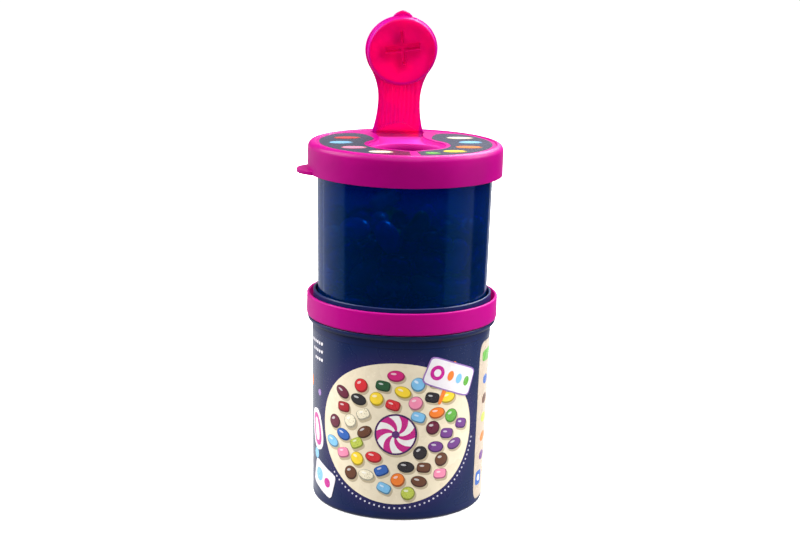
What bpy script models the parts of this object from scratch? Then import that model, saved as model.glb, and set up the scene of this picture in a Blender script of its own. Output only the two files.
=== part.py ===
"""Two-tier sweet dispenser: an opaque printed cup with a coloured collar band, a translucent
cup of jelly beans standing in its rim, and a snap lid whose flip tab stands open.

Metres, +Z up. The origin is the centre of the base. The lid's keyhole recess runs along Y,
with the flip tab's hinge at +Y and the pour hole towards -Y.
"""
import math
import random

import bmesh
import bpy
from mathutils import Matrix, Vector

SEGMENTS = 60
GAP = 0.0003

# Lower cup: a shut, opaque pack, so it is solid up to the seat of the upper cup.
LOWER_BASE_R = 0.0417
LOWER_TOP_R = 0.0433
LOWER_CORNER = 0.0026
FLANGE_Z = 0.0884
FLANGE_R = 0.0455
FLANGE_TOP = 0.0911
FLANGE_EDGE = 0.0005
FLANGE_ROUND_DEG = 70
RIM_OUTER_R = 0.0429
RIM_INNER_R = 0.0417
RIM_TOP = 0.1038
SEAT_Z = 0.0937

# Collar band: a thin upright skirt on the flange, joined to the rim by a web.
BAND_R = 0.0460
BAND_WALL = 0.0013
BAND_TOP = 0.1021
BAND_BOTTOM = FLANGE_TOP + GAP
BAND_WEB_TOP = 0.0950
BAND_ROUND = 0.0005

# Upper cup: translucent, open at the top under the lid.
CUP_FOOT_Z = SEAT_Z + GAP
CUP_FOOT_R = 0.0406
CUP_NECK_R = 0.0418
CUP_NECK_Z = 0.1605
CUP_WALL = 0.0012
CUP_FLOOR = 0.0013
CUP_CORNER = 0.0025
CUP_BEAD_R = 0.0443
CUP_BEAD_Z = 0.1688
CUP_BEAD_HALF = 0.0008
CUP_BEAD_END = 0.0024
CUP_BEAD_START = 0.0043

# Lid: skirt, rounded shoulder, a low bead round the flat top.
LID_R = 0.0465
LID_WALL = 0.0016
LID_BOTTOM = 0.1605
LID_TOP = 0.1748
LID_PLATE = 0.0016
LID_SHOULDER = 0.0028
LID_BEAD_R = 0.0437
LID_BEAD_HEIGHT = 0.0005
LID_BEAD_SLOPE = 0.0010
LID_BEAD_CREST = 0.0004
LIFT_TAB_REACH = 0.0053
LIFT_TAB_HALF_WIDTH = 0.0115
LIFT_TAB_THICK = 0.0019

# Flip tab: a strap and a disc, hinged on the lid's top at the back of the recess.
HINGE_Y = 0.0358
HINGE_Z = LID_TOP + 0.00015
TAB_LEAN_DEG = 11.5
TAB_FOOT_GAP = 0.00035
TAB_THICK = 0.0017
DISC_R = 0.0176
DISC_CROWN = 0.96
DISC_ARM = 0.0424
STRAP_HALF_WIDTH = 0.0103
STRAP_WAIST = 0.0169
STRAP_FOOT_CURVE = 0.0580
LIP_REACH = 0.0024
LIP_HALF_WIDTH = 0.0047
LIP_CORNER_OUT = 0.5
LIP_CORNER_DROP = 0.3
PLUG_R = 0.0167
PLUG_DEPTH = 0.0045
PLUG_BEVEL = 0.0011
BEVEL_ROUND = 0.3
PLUG_FACE = 0.0016
DISH_R = 0.0152
CROSS_LENGTH = 0.0168
CROSS_WIDE = 0.0033
CROSS_NARROW = 0.0013
CROSS_DEPTH = 0.0042
CROSS_TURN_DEG = 8.0
CROSS_RISE = 0.0022
CROSS_WALL = 0.0012

# Recess in the lid's top that the tab folds into, and the pour hole in its floor.
RECESS_GROW = 0.0006
RECESS_FLOOR = 0.1726
POCKET_WALL = 0.0013
POCKET_UNDER = 0.1712
HOLE_R = PLUG_R + 0.0004
COLLAR_R = HOLE_R + 0.0012
COLLAR_BOTTOM = 0.1674
HOLE_Y = HINGE_Y - DISC_ARM
CUT_PAST = 0.002

# Jelly beans: the ones at the wall and on top are fused to a plain core.
BEAN_LENGTH = 0.0170
BEAN_WIDTH = 0.0108
BEAN_THICK = 0.0098
BEAN_BEND = 9.0
BEAN_SIDES = 6
BEAN_RINGS = 4
BEAN_ROWS = 5
BEANS_PER_ROW = 12
BEAN_ROW_PITCH = 0.0098
BEAN_ROW_SLACK = 0.0004
BEAN_ROW_JITTER = 0.0012
BEAN_SWING = 0.12
BEAN_ROLL_DEG = 35
FLOOR_ROLL_DEG = 8
BEAN_SPIN_DEG = 25
SLIDE_STEP = 0.00005
TOP_BEANS = 11
TOP_RING_R = 0.0265
TOP_RING_START = 0.3
TOP_LIFT_LOW = 0.0002
TOP_LIFT_HIGH = 0.0024
TOP_TILT_DEG = 20
GOLDEN_DEG = 137.508
CORE_R = 0.0318
CORE_BEVEL_R = 0.006
CORE_BEVEL_Z = 0.004
FILL_Z = 0.1440
BEAN_SEED = 11


def clear_scene():
    for obj in list(bpy.data.objects):
        bpy.data.objects.remove(obj, do_unlink=True)


def make_material(name, colour, roughness, alpha=1.0):
    material = bpy.data.materials.new(name)
    material.use_nodes = True
    shader = material.node_tree.nodes["Principled BSDF"]
    shader.inputs["Base Color"].default_value = (*colour, 1.0)
    shader.inputs["Roughness"].default_value = roughness
    shader.inputs["Metallic"].default_value = 0.0
    shader.inputs["Alpha"].default_value = alpha
    material.diffuse_color = (*colour, alpha)
    return material


def link_mesh(name, bm, material=None):
    mesh = bpy.data.meshes.new(name)
    bm.to_mesh(mesh)
    bm.free()
    obj = bpy.data.objects.new(name, mesh)
    bpy.context.scene.collection.objects.link(obj)
    if material:
        mesh.materials.append(material)
        mesh.shade_smooth()
        mesh.set_sharp_from_angle(angle=math.radians(30))
    return obj


def arc(centre_r, centre_z, radius, start_deg, end_deg, steps):
    """Points on an arc in the (r, z) plane, both ends included."""
    points = []
    for i in range(steps + 1):
        angle = math.radians(start_deg + (end_deg - start_deg) * i / steps)
        points.append((centre_r + radius * math.cos(angle), centre_z + radius * math.sin(angle)))
    return points


def turned(name, outline, material=None, closed=False):
    """Spins an (r, z) outline about Z. An open outline starts and ends on the axis."""
    bm = bmesh.new()
    verts = [bm.verts.new((r, 0.0, z)) for r, z in outline]
    count = len(verts)
    for i in range(count if closed else count - 1):
        bm.edges.new((verts[i], verts[(i + 1) % count]))
    bmesh.ops.spin(bm, geom=bm.verts[:] + bm.edges[:], cent=(0, 0, 0), axis=(0, 0, 1),
                   angle=math.tau, steps=SEGMENTS, use_merge=True)
    bmesh.ops.remove_doubles(bm, verts=bm.verts, dist=1e-7)
    bmesh.ops.recalc_face_normals(bm, faces=bm.faces)
    return link_mesh(name, bm, material)


def prism(name, outline, low, high, material=None):
    """Extrudes a flat (x, y) outline from z = low to z = high."""
    bm = bmesh.new()
    face = bm.faces.new([bm.verts.new((x, y, low)) for x, y in outline])
    top = bmesh.ops.extrude_face_region(bm, geom=[face])
    moved = [item for item in top["geom"] if isinstance(item, bmesh.types.BMVert)]
    bmesh.ops.translate(bm, vec=(0, 0, high - low), verts=moved)
    bmesh.ops.recalc_face_normals(bm, faces=bm.faces)
    return link_mesh(name, bm, material)


def circle_outline(centre_y, radius, steps=44):
    return [(radius * math.cos(math.tau * i / steps),
             centre_y + radius * math.sin(math.tau * i / steps)) for i in range(steps)]


def as_tool(obj):
    """A shape that only cuts or joins: not a piece of its own."""
    obj.hide_render = True
    obj.display_type = "WIRE"
    return obj


def combine(obj, tool, operation):
    modifier = obj.modifiers.new(tool.name, "BOOLEAN")
    modifier.operation = operation
    modifier.solver = "EXACT"
    modifier.object = as_tool(tool)


def apply_modifiers(obj):
    depsgraph = bpy.context.evaluated_depsgraph_get()
    mesh = bpy.data.meshes.new_from_object(obj.evaluated_get(depsgraph))
    obj.modifiers.clear()
    obj.data = mesh


def build_lower_cup(material):
    outline = [(0.0, 0.0)]
    outline += arc(LOWER_BASE_R - LOWER_CORNER, LOWER_CORNER, LOWER_CORNER, -90, 0, 3)
    outline += [(LOWER_TOP_R, FLANGE_Z)]
    outline += arc(LOWER_TOP_R, FLANGE_TOP - FLANGE_EDGE, FLANGE_R - LOWER_TOP_R,
                   -FLANGE_ROUND_DEG, 0, 2)
    outline += [(FLANGE_R, FLANGE_TOP), (RIM_OUTER_R, FLANGE_TOP)]
    rim_half = (RIM_OUTER_R - RIM_INNER_R) / 2
    outline += arc(RIM_INNER_R + rim_half, RIM_TOP - rim_half, rim_half, 0, 180, 3)
    outline += [(RIM_INNER_R, SEAT_Z), (0.0, SEAT_Z)]
    return turned("lower_cup", outline, material)


def build_collar_band(material):
    inner = BAND_R - BAND_WALL
    web_r = RIM_OUTER_R + GAP
    outline = [(web_r, BAND_BOTTOM)]
    outline += arc(BAND_R - 2 * BAND_ROUND, BAND_BOTTOM + 2 * BAND_ROUND, 2 * BAND_ROUND, -90, 0, 2)
    outline += arc(BAND_R - BAND_ROUND, BAND_TOP - BAND_ROUND, BAND_ROUND, 0, 90, 2)
    outline += [(inner, BAND_TOP), (inner, BAND_WEB_TOP), (web_r, BAND_WEB_TOP)]
    return turned("collar_band", outline, material, closed=True)


def cup_outer_radius(z):
    share = (z - CUP_FOOT_Z) / (CUP_NECK_Z - CUP_FOOT_Z)
    return CUP_FOOT_R + (CUP_NECK_R - CUP_FOOT_R) * share


def build_upper_cup(material):
    mouth_z = LID_TOP - LID_PLATE - GAP
    throat_r = CUP_NECK_R - CUP_WALL
    outline = [(0.0, CUP_FOOT_Z)]
    outline += arc(CUP_FOOT_R - CUP_CORNER, CUP_FOOT_Z + CUP_CORNER, CUP_CORNER, -90, 0, 3)
    outline += [(CUP_NECK_R, CUP_BEAD_Z - CUP_BEAD_START), (CUP_BEAD_R, CUP_BEAD_Z - CUP_BEAD_HALF),
                (CUP_BEAD_R, CUP_BEAD_Z + CUP_BEAD_HALF), (CUP_NECK_R, CUP_BEAD_Z + CUP_BEAD_END)]
    outline += [(CUP_NECK_R, mouth_z), (throat_r, mouth_z), (throat_r, CUP_NECK_Z)]
    inner_corner = CUP_CORNER - CUP_WALL
    outline += arc(CUP_FOOT_R - CUP_CORNER, CUP_FOOT_Z + CUP_FLOOR + inner_corner,
                   inner_corner, 0, -90, 2)
    outline += [(0.0, CUP_FOOT_Z + CUP_FLOOR)]
    return turned("upper_cup", outline, material)


def tab_side(height):
    """Half width of the strap below the disc, at a height above the hinge."""
    flare = disc_fillet() if height > STRAP_WAIST else STRAP_FOOT_CURVE
    offset = height - STRAP_WAIST
    return STRAP_HALF_WIDTH + flare - math.sqrt(flare ** 2 - offset ** 2)


def disc_fillet():
    """Radius of the arc that leaves the waist upright and meets the disc as a tangent."""
    rise = DISC_ARM - STRAP_WAIST
    return (STRAP_HALF_WIDTH ** 2 + rise ** 2 - DISC_R ** 2) / (2 * (DISC_R - STRAP_HALF_WIDTH))


def tab_outline(foot, grow=0.0):
    """Right half, then its mirror image: strap, disc and thumb lip, as (x, height) points."""
    fillet = disc_fillet()
    spread = math.hypot(STRAP_HALF_WIDTH + fillet, DISC_ARM - STRAP_WAIST)
    meet_height = DISC_ARM - DISC_R * (DISC_ARM - STRAP_WAIST) / spread
    strap_steps = 9
    right = []
    for i in range(strap_steps):
        height = foot + (meet_height - foot) * i / strap_steps
        right.append((tab_side(height) + grow, height))
    start = math.asin((meet_height - DISC_ARM) / DISC_R)
    crown = DISC_R * DISC_CROWN + grow
    lip_half = LIP_HALF_WIDTH + grow / 2
    end = math.acos(lip_half / (DISC_R + grow))
    disc_steps = 12
    for i in range(disc_steps + 1):
        angle = start + (end - start) * i / disc_steps
        rise = crown if angle > 0 else DISC_R + grow
        right.append(((DISC_R + grow) * math.cos(angle), DISC_ARM + rise * math.sin(angle)))
    lip_top = DISC_ARM + crown + LIP_REACH
    right.append((lip_half * LIP_CORNER_OUT, lip_top - LIP_REACH * LIP_CORNER_DROP))
    tip = [(0.0, lip_top)]
    left = [(-x, height) for x, height in reversed(right)]
    return right + tip + left


def recess_outline(grow):
    """The tab's outline laid forward on the lid, as (x, y) points."""
    return [(x, HINGE_Y - height) for x, height in tab_outline(0.0, grow)]


def build_lid(material):
    plane_r = LID_BEAD_R - LID_BEAD_SLOPE
    bead_top = LID_TOP + LID_BEAD_HEIGHT
    outline = [(0.0, LID_TOP), (plane_r, LID_TOP), (LID_BEAD_R - LID_BEAD_CREST, bead_top)]
    outline += arc(LID_R - LID_SHOULDER, bead_top - LID_SHOULDER, LID_SHOULDER, 90, 0, 5)
    outline += [(LID_R, LID_BOTTOM), (LID_R - LID_WALL, LID_BOTTOM)]
    outline += [(LID_R - LID_WALL, LID_TOP - LID_PLATE), (0.0, LID_TOP - LID_PLATE)]
    lid = turned("lid", outline, material)
    combine(lid, prism("pocket_form", recess_outline(RECESS_GROW + POCKET_WALL),
                       POCKET_UNDER, LID_TOP - LID_PLATE / 2), "UNION")
    combine(lid, prism("pour_collar_form", circle_outline(HOLE_Y, COLLAR_R),
                       COLLAR_BOTTOM, (POCKET_UNDER + RECESS_FLOOR) / 2), "UNION")
    combine(lid, prism("recess_cutter", recess_outline(RECESS_GROW),
                       RECESS_FLOOR, LID_TOP + CUT_PAST), "DIFFERENCE")
    combine(lid, prism("pour_hole_cutter", circle_outline(HOLE_Y, HOLE_R),
                       COLLAR_BOTTOM - CUT_PAST, LID_TOP + CUT_PAST), "DIFFERENCE")
    combine(lid, prism("lift_tab_form", lift_tab_outline(), LID_BOTTOM,
                       LID_BOTTOM + LIFT_TAB_THICK), "UNION")
    return lid


def lift_tab_outline():
    """A crescent at -X: a round outer edge, closed by an arc inside the skirt's wall."""
    root_r = LID_R - LID_WALL / 2
    skirt_x = math.sqrt(LID_R ** 2 - LIFT_TAB_HALF_WIDTH ** 2)
    sagitta = LID_R + LIFT_TAB_REACH - skirt_x
    edge_r = (sagitta ** 2 + LIFT_TAB_HALF_WIDTH ** 2) / (2 * sagitta)
    centre_x = LID_R + LIFT_TAB_REACH - edge_r
    swing = math.asin(LIFT_TAB_HALF_WIDTH / edge_r)
    if skirt_x < centre_x:
        swing = math.pi - swing
    steps = 12
    points = []
    for i in range(steps + 1):
        angle = -swing + 2 * swing * i / steps
        points.append((-centre_x - edge_r * math.cos(angle), edge_r * math.sin(angle)))
    root_swing = math.asin(LIFT_TAB_HALF_WIDTH / root_r)
    for i in range(steps + 1):
        angle = root_swing - 2 * root_swing * i / steps
        points.append((-root_r * math.cos(angle), root_r * math.sin(angle)))
    return points


def box(name, size, centre):
    bm = bmesh.new()
    bmesh.ops.create_cube(bm, size=1.0)
    bmesh.ops.scale(bm, vec=size, verts=bm.verts)
    bmesh.ops.translate(bm, vec=centre, verts=bm.verts)
    return link_mesh(name, bm)


def disc_form(name, radius, back_y, front_y, bevel=0.0, steps=40):
    """A round form along Y about the disc's centre, its front edge bevelled."""
    rings = [(radius, back_y), (radius, front_y + bevel)]
    if bevel:
        corner = bevel * BEVEL_ROUND
        rings += [(radius - corner, front_y + corner), (radius - bevel, front_y)]
    bm = bmesh.new()
    loops = []
    for ring_r, y in rings:
        loops.append([bm.verts.new((ring_r * math.cos(math.tau * i / steps), y,
                                    DISC_ARM + ring_r * math.sin(math.tau * i / steps)))
                      for i in range(steps)])
    for low, high in zip(loops, loops[1:]):
        for i in range(steps):
            j = (i + 1) % steps
            bm.faces.new((low[i], low[j], high[j], high[i]))
    bm.faces.new(loops[0])
    bm.faces.new(loops[-1])
    bmesh.ops.recalc_face_normals(bm, faces=bm.faces)
    return link_mesh(name, bm)


def cross_bar(name, length, width, back_y, front_y, upright):
    """One bar of the cross, which stands a little above the disc's centre."""
    size = (width, back_y - front_y, length) if upright else (length, back_y - front_y, width)
    bar = box(name, size, (0.0, (back_y + front_y) / 2, 0.0))
    bar.data.transform(Matrix.Rotation(-math.radians(CROSS_TURN_DEG), 4, "Y"))
    bar.data.transform(Matrix.Translation((0.0, 0.0, DISC_ARM + CROSS_RISE)))
    return bar


def place_on_hinge(obj):
    obj.location = (0.0, HINGE_Y, HINGE_Z)
    obj.rotation_euler = (math.radians(TAB_LEAN_DEG), 0.0, 0.0)
    return obj


def build_flip_tab(material):
    """Strap and disc with their back face on the hinge axis, and a dished plug in front."""
    front = -TAB_THICK
    plug_face = front - PLUG_DEPTH
    dish_floor = plug_face + PLUG_FACE
    bm = bmesh.new()
    outline = tab_outline(TAB_FOOT_GAP)
    face = bm.faces.new([bm.verts.new((x, 0.0, height)) for x, height in outline])
    grown = bmesh.ops.extrude_face_region(bm, geom=[face])
    moved = [item for item in grown["geom"] if isinstance(item, bmesh.types.BMVert)]
    bmesh.ops.translate(bm, vec=(0, front, 0), verts=moved)
    bmesh.ops.recalc_face_normals(bm, faces=bm.faces)
    tab = place_on_hinge(link_mesh("flip_tab", bm, material))

    boss = 2 * CROSS_WALL
    forms = [
        (disc_form("plug_form", PLUG_R, front / 2, plug_face, PLUG_BEVEL), "UNION"),
        (disc_form("dish_cutter", DISH_R, CUT_PAST, dish_floor), "DIFFERENCE"),
        (cross_bar("wide_boss_form", CROSS_LENGTH + boss, CROSS_WIDE + boss,
                   plug_face + CROSS_DEPTH + CROSS_WALL, dish_floor - PLUG_FACE / 2, False), "UNION"),
        (cross_bar("narrow_boss_form", CROSS_LENGTH + boss, CROSS_NARROW + boss,
                   plug_face + CROSS_DEPTH + CROSS_WALL, dish_floor - PLUG_FACE / 2, True), "UNION"),
        (cross_bar("wide_slot_cutter", CROSS_LENGTH, CROSS_WIDE,
                   plug_face + CROSS_DEPTH, plug_face - CUT_PAST, False), "DIFFERENCE"),
        (cross_bar("narrow_slot_cutter", CROSS_LENGTH, CROSS_NARROW,
                   plug_face + CROSS_DEPTH, plug_face - CUT_PAST, True), "DIFFERENCE"),
    ]
    for form, operation in forms:
        combine(tab, place_on_hinge(form), operation)
    return tab


def bean_mesh():
    """A low-sided bean along X, bent a little about Y."""
    bm = bmesh.new()
    bmesh.ops.create_uvsphere(bm, u_segments=BEAN_SIDES, v_segments=BEAN_RINGS, radius=0.5)
    bmesh.ops.rotate(bm, verts=bm.verts, cent=(0, 0, 0), matrix=Matrix.Rotation(math.pi / 2, 3, "Y"))
    bmesh.ops.scale(bm, vec=(BEAN_LENGTH, BEAN_WIDTH, BEAN_THICK), verts=bm.verts)
    for vert in bm.verts:
        vert.co.z -= BEAN_BEND * vert.co.x ** 2
    mesh = bpy.data.meshes.new("bean")
    bm.to_mesh(mesh)
    bm.free()
    return mesh


def wall_bean_places(rng):
    """Turn, angle round the axis and height of each bean against the cup's wall."""
    first_z = CUP_FOOT_Z + CUP_FLOOR + GAP + BEAN_THICK / 2 + BEAN_ROW_SLACK
    for row in range(BEAN_ROWS):
        for i in range(BEANS_PER_ROW):
            stagger = 0.5 * (row % 2) + rng.uniform(-BEAN_SWING, BEAN_SWING)
            angle = math.tau * (i + stagger) / BEANS_PER_ROW
            height = first_z + BEAN_ROW_PITCH * row + rng.uniform(0.0, BEAN_ROW_JITTER)
            most = BEAN_ROLL_DEG if row else FLOOR_ROLL_DEG
            roll = math.radians(rng.uniform(-most, most))
            yield angle, height, roll


def set_against_wall(obj, angle, height, roll, spin):
    """Turns the bean in the wall's plane, then slides it outwards until it is a gap short of it."""
    obj.rotation_euler = (Matrix.Rotation(angle + math.pi / 2, 4, "Z") @
                          Matrix.Rotation(roll, 4, "Y") @
                          Matrix.Rotation(spin, 4, "X")).to_euler()
    turn = obj.rotation_euler.to_matrix()
    corners = [turn @ vert.co for vert in obj.data.vertices]
    floor = CUP_FOOT_Z + CUP_FLOOR + GAP
    height = max(height, floor - min(corner.z for corner in corners))
    outward = Vector((math.cos(angle), math.sin(angle), 0.0))

    def too_far(reach):
        for corner in corners:
            point = corner + outward * reach + Vector((0, 0, height))
            if math.hypot(point.x, point.y) > cup_outer_radius(point.z) - CUP_WALL - GAP:
                return True
        return False

    reach = CORE_R
    while not too_far(reach + SLIDE_STEP):
        reach += SLIDE_STEP
    obj.location = outward * reach + Vector((0, 0, height))


def build_beans(material):
    rng = random.Random(BEAN_SEED)
    core_low = CUP_FOOT_Z + CUP_FLOOR + GAP
    core = [(0.0, core_low), (CORE_R, core_low), (CORE_R, FILL_Z - CORE_BEVEL_Z),
            (CORE_R - CORE_BEVEL_R, FILL_Z), (0.0, FILL_Z)]
    heap = turned("jelly_beans", core)
    group = bpy.data.collections.new("bean_forms")
    bpy.context.scene.collection.children.link(group)
    mesh = bean_mesh()
    for angle, height, roll in wall_bean_places(rng):
        obj = bpy.data.objects.new("bean", mesh)
        group.objects.link(obj)
        spin = math.radians(rng.uniform(-BEAN_SPIN_DEG, BEAN_SPIN_DEG))
        set_against_wall(obj, angle, height, roll, spin)
    tilt = math.radians(TOP_TILT_DEG)
    for i in range(TOP_BEANS):
        obj = bpy.data.objects.new("bean", mesh)
        group.objects.link(obj)
        ring = TOP_RING_R * math.sqrt((i + TOP_RING_START) / TOP_BEANS)
        spot = math.radians(GOLDEN_DEG) * i
        obj.location = (ring * math.cos(spot), ring * math.sin(spot),
                        FILL_Z + rng.uniform(TOP_LIFT_LOW, TOP_LIFT_HIGH))
        obj.rotation_euler = (rng.uniform(-tilt, tilt), rng.uniform(-tilt, tilt),
                              rng.uniform(0, math.pi))
    modifier = heap.modifiers.new("beans", "BOOLEAN")
    modifier.operation = "UNION"
    modifier.operand_type = "COLLECTION"
    modifier.collection = group
    modifier.solver = "MANIFOLD"
    apply_modifiers(heap)
    for obj in list(group.objects):
        bpy.data.objects.remove(obj, do_unlink=True)
    bpy.data.collections.remove(group)
    keep_outer_shell(heap)
    heap.data.materials.clear()
    heap.data.materials.append(material)
    heap.data.shade_smooth()
    heap.data.set_sharp_from_angle(angle=math.radians(50))
    return heap


def keep_outer_shell(obj):
    """Drops sealed hollows and loose scraps: the widest connected shell stays."""
    bm = bmesh.new()
    bm.from_mesh(obj.data)
    unseen = set(bm.faces)
    shells = []
    while unseen:
        stack = [unseen.pop()]
        shell = []
        while stack:
            face = stack.pop()
            shell.append(face)
            for edge in face.edges:
                for other in edge.link_faces:
                    if other in unseen:
                        unseen.remove(other)
                        stack.append(other)
        shells.append(shell)
    shells.sort(key=lambda shell: sum(face.calc_area() for face in shell))
    for shell in shells[:-1]:
        bmesh.ops.delete(bm, geom=shell, context="FACES")
    bm.to_mesh(obj.data)
    bm.free()


def main():
    clear_scene()
    navy = make_material("navy_plastic", (0.012, 0.020, 0.095), 0.38)
    magenta = make_material("magenta_plastic", (0.55, 0.0, 0.24), 0.35)
    hot_pink = make_material("flip_tab_plastic", (0.92, 0.0, 0.13), 0.35)
    blue_clear = make_material("blue_clear_plastic", (0.005, 0.025, 0.16), 0.15, 0.35)
    sugar = make_material("jelly_bean_shell", (0.55, 0.08, 0.06), 0.25)
    build_lower_cup(navy)
    build_collar_band(magenta)
    build_upper_cup(blue_clear)
    build_beans(sugar)
    build_lid(magenta)
    build_flip_tab(hot_pink)


main()
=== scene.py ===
"""Looks of the sweet dispenser, laid out as an add-on and run as a script.

Metres, +Z up, the origin at the centre of the base. The lid's keyhole recess runs along Y, with
the flip tab's hinge at +Y. Print on the cup is placed by arc length and height from the label's
middle, which is turned towards the camera.
"""

import math

import bmesh
import bpy
import numpy as np
from bpy.props import FloatProperty, FloatVectorProperty, IntProperty, PointerProperty
from mathutils import Matrix, Vector


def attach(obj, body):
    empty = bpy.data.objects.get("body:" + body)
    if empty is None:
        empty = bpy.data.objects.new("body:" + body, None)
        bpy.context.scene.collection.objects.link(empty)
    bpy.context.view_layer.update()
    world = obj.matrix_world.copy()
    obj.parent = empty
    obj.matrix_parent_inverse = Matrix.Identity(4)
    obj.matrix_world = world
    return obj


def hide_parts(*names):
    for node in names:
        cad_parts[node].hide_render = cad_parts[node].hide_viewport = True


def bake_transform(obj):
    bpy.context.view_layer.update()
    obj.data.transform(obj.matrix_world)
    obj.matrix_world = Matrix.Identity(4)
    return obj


bl_info = {
    "name": "Sweet dispenser",
    "version": (1, 0, 0),
    "blender": (4, 5, 0),
    "location": "3D View > Sidebar > Dispenser",
    "description": "Builds the cups, lid, flip tab, sweets and print of a stacked sweet dispenser",
    "category": "Object",
}

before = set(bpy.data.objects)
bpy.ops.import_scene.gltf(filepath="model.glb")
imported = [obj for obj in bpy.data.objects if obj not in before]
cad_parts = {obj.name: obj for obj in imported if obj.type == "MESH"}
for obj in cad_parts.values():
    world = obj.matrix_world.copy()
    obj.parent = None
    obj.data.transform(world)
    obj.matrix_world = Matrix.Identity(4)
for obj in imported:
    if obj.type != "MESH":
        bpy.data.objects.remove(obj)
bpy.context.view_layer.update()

SEGMENTS = 192
GAP = 0.0003
EDGE = 0.0003
SHARP_ANGLE = math.radians(50.0)

# Lower cup and the collar band round its top.
LOWER_CORNER = 0.0026
FLANGE_Z = 0.0884
FLANGE_TOP = 0.0911
RIM_OUTER_R = 0.0429
RIM_INNER_R = 0.0417
RIM_TOP = 0.1038
SEAT_Z = 0.0937
BAND_WALL = 0.0013
BAND_TOP = 0.1021
BAND_WEB_TOP = 0.0950
BAND_ROUND = 0.0005

# Upper cup.
CUP_FOOT_Z = SEAT_Z + GAP
CUP_NECK_Z = 0.1605
CUP_NECK_RUN = 0.0040
CUP_FLOOR = 0.0013
CUP_CORNER = 0.0025
CUP_BEAD_R = 0.0443
CUP_BEAD_Z = 0.1688
CUP_BEAD_HALF = 0.0010
CUP_BEAD_RUN = 0.0024

# Lid.
LID_WALL = 0.0016
LID_BOTTOM = 0.1605
LID_TOP = 0.1748
LID_PLATE = 0.0016
LID_SHOULDER = 0.0028
LID_BEAD_R = 0.0437
LID_BEAD_HEIGHT = 0.0005
LID_PLANE_R = LID_BEAD_R - 0.0010
LIFT_TAB_REACH = 0.0053
LIFT_TAB_HALF_WIDTH = 0.0115
LIFT_TAB_THICK = 0.0019
LIFT_TAB_STEPS = 40
RECESS_GROW = 0.0006
RECESS_FLOOR = 0.1726
POCKET_WALL = 0.0013
POCKET_UNDER = 0.1712
COLLAR_WALL = 0.0012
COLLAR_BOTTOM = 0.1674
HOLE_CLEARANCE = 0.0004

# Flip tab.
HINGE_Z = LID_TOP + 0.00015
TAB_FOOT_GAP = 0.00035
TAB_THICK = 0.0017
TAB_EDGE = 0.0004
DISC_CROWN = 0.96
STRAP_WAIST = 0.0169
STRAP_FOOT_CURVE = 0.0580
LIP_REACH = 0.0024
LIP_HALF_WIDTH = 0.0047
LIP_POINT = 1.35
PLUG_DEPTH = 0.0045
PLUG_BEVEL = 0.0011
PLUG_FACE = 0.0016
DISH_WALL = 0.0015
CROSS_LENGTH = 0.0168
CROSS_WIDE = 0.0033
CROSS_NARROW = 0.0013
CROSS_DEPTH = 0.0042
CROSS_TURN = math.radians(8.0)
CROSS_RISE = 0.0022
CROSS_WALL = 0.0012

# The two thin webs at the fold line: a film behind the strap and a web in front of it.
FILM_HALF_WIDTH = 0.0072
FILM_THICK = 0.00022
FILM_REACH = 0.0016
FILM_BEND = 0.0005
FILM_SINK = 0.0001
FILM_TAPER = 0.0004
WEB_THICK = 0.0003
WEB_BELLY = 0.00025
WEB_TOE = 0.0005
WEB_PULL_IN = 0.0003
WEB_INSET = 0.00005
WEB_LIFT = 0.00004
BEND_STEPS = 10

# Ribs on the strap's front, which end at a notched arch over the foot.
RIB_PITCH = 0.00205
RIB_COUNT = 9
RIB_WIDTH = 0.0012
RIB_PROUD = 0.00016
ARCH_HEIGHT = 0.0050
ARCH_DROP = 0.0036
ARCH_HALF_WIDTH = 0.0084
ARCH_NOTCHES = 17
NOTCH_LENGTH = 0.0011
NOTCH_RADIUS = 0.00022
NOTCH_LEAN = math.radians(-32.0)
NOTCH_FAN = 0.8
RIB_TO_PLUG = 0.0007
RIB_SLOPE_LOW = 0.0005
RIB_SLOPE_HIGH = 0.0012
RIB_SWELLS = (0.3, 1.0, 1.0, 0.2)
ROD_LEAST_WIDTH = 0.5

# Sections of a notch, as (share of its length, swell).
NOTCH_SECTIONS = ((-0.5, 0.35), (-0.3, 1.0), (0.3, 1.0), (0.5, 0.35))

# Finish of the flip tab: where its masks start and end, past the form that each follows. They lay painted
# shade on the rims, round the plug and in the cross slot.
PLUG_MASK_RISE = 0.0008
PLUG_MASK = (-0.0012, -0.0004)
DISC_MASK = (0.0002, 0.0010)
STRAP_MASK = (0.0002, 0.0012)
STRAP_SIDE_MASK = (-0.0007, 0.0010)
CROSS_MASK = (0.0004, 0.0012)
ARCH_MASK = (-EDGE, EDGE)
ROPE_MASK = (0.0006, 0.0011)
DISH_MASK = (0.004, 0.011)

# The share of light that comes through the flip tab, and what each form takes away or adds.
TAB_GLOW = 0.54
RIB_SHADE = 0.10
ROPE_SHADE = 0.26
RIM_SHADE = 0.20
SLOT_SHADE = 0.24
PLUG_GLOW = 0.10
DISH_GLOW = 0.07
FOOT_GLOW = 0.12

# Finish of the lid and the band: where its masks start and end, and the share that glows. Below
# BAND_PAINTED_LIGHT_TOP the band is painted lighter, and the recess masks lay a painted glow on the
# recess floor.
BAND_PAINTED_LIGHT_TOP = RECESS_FLOOR - 0.03
RECESS_MASK_R = (0.0370, 0.0385)
RECESS_MASK_TOP = (-0.0008, -0.0002)
RECESS_MASK_DEPTH = 0.003
LID_GLOW = 0.30

# Depth and strength of the fine grain on all the satin plastics.
GRAIN_DEPTH = 0.00004
GRAIN_STRENGTH = 0.25

# Wear of the plastics and the ink: slow variation and fine marks, with scales per metre.
WEAR_SCALE = 60.0
MARK_SCALE = 900.0
MARK_RISE = (0.60, 0.74)
MARK_ROUGHNESS = 0.05

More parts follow.
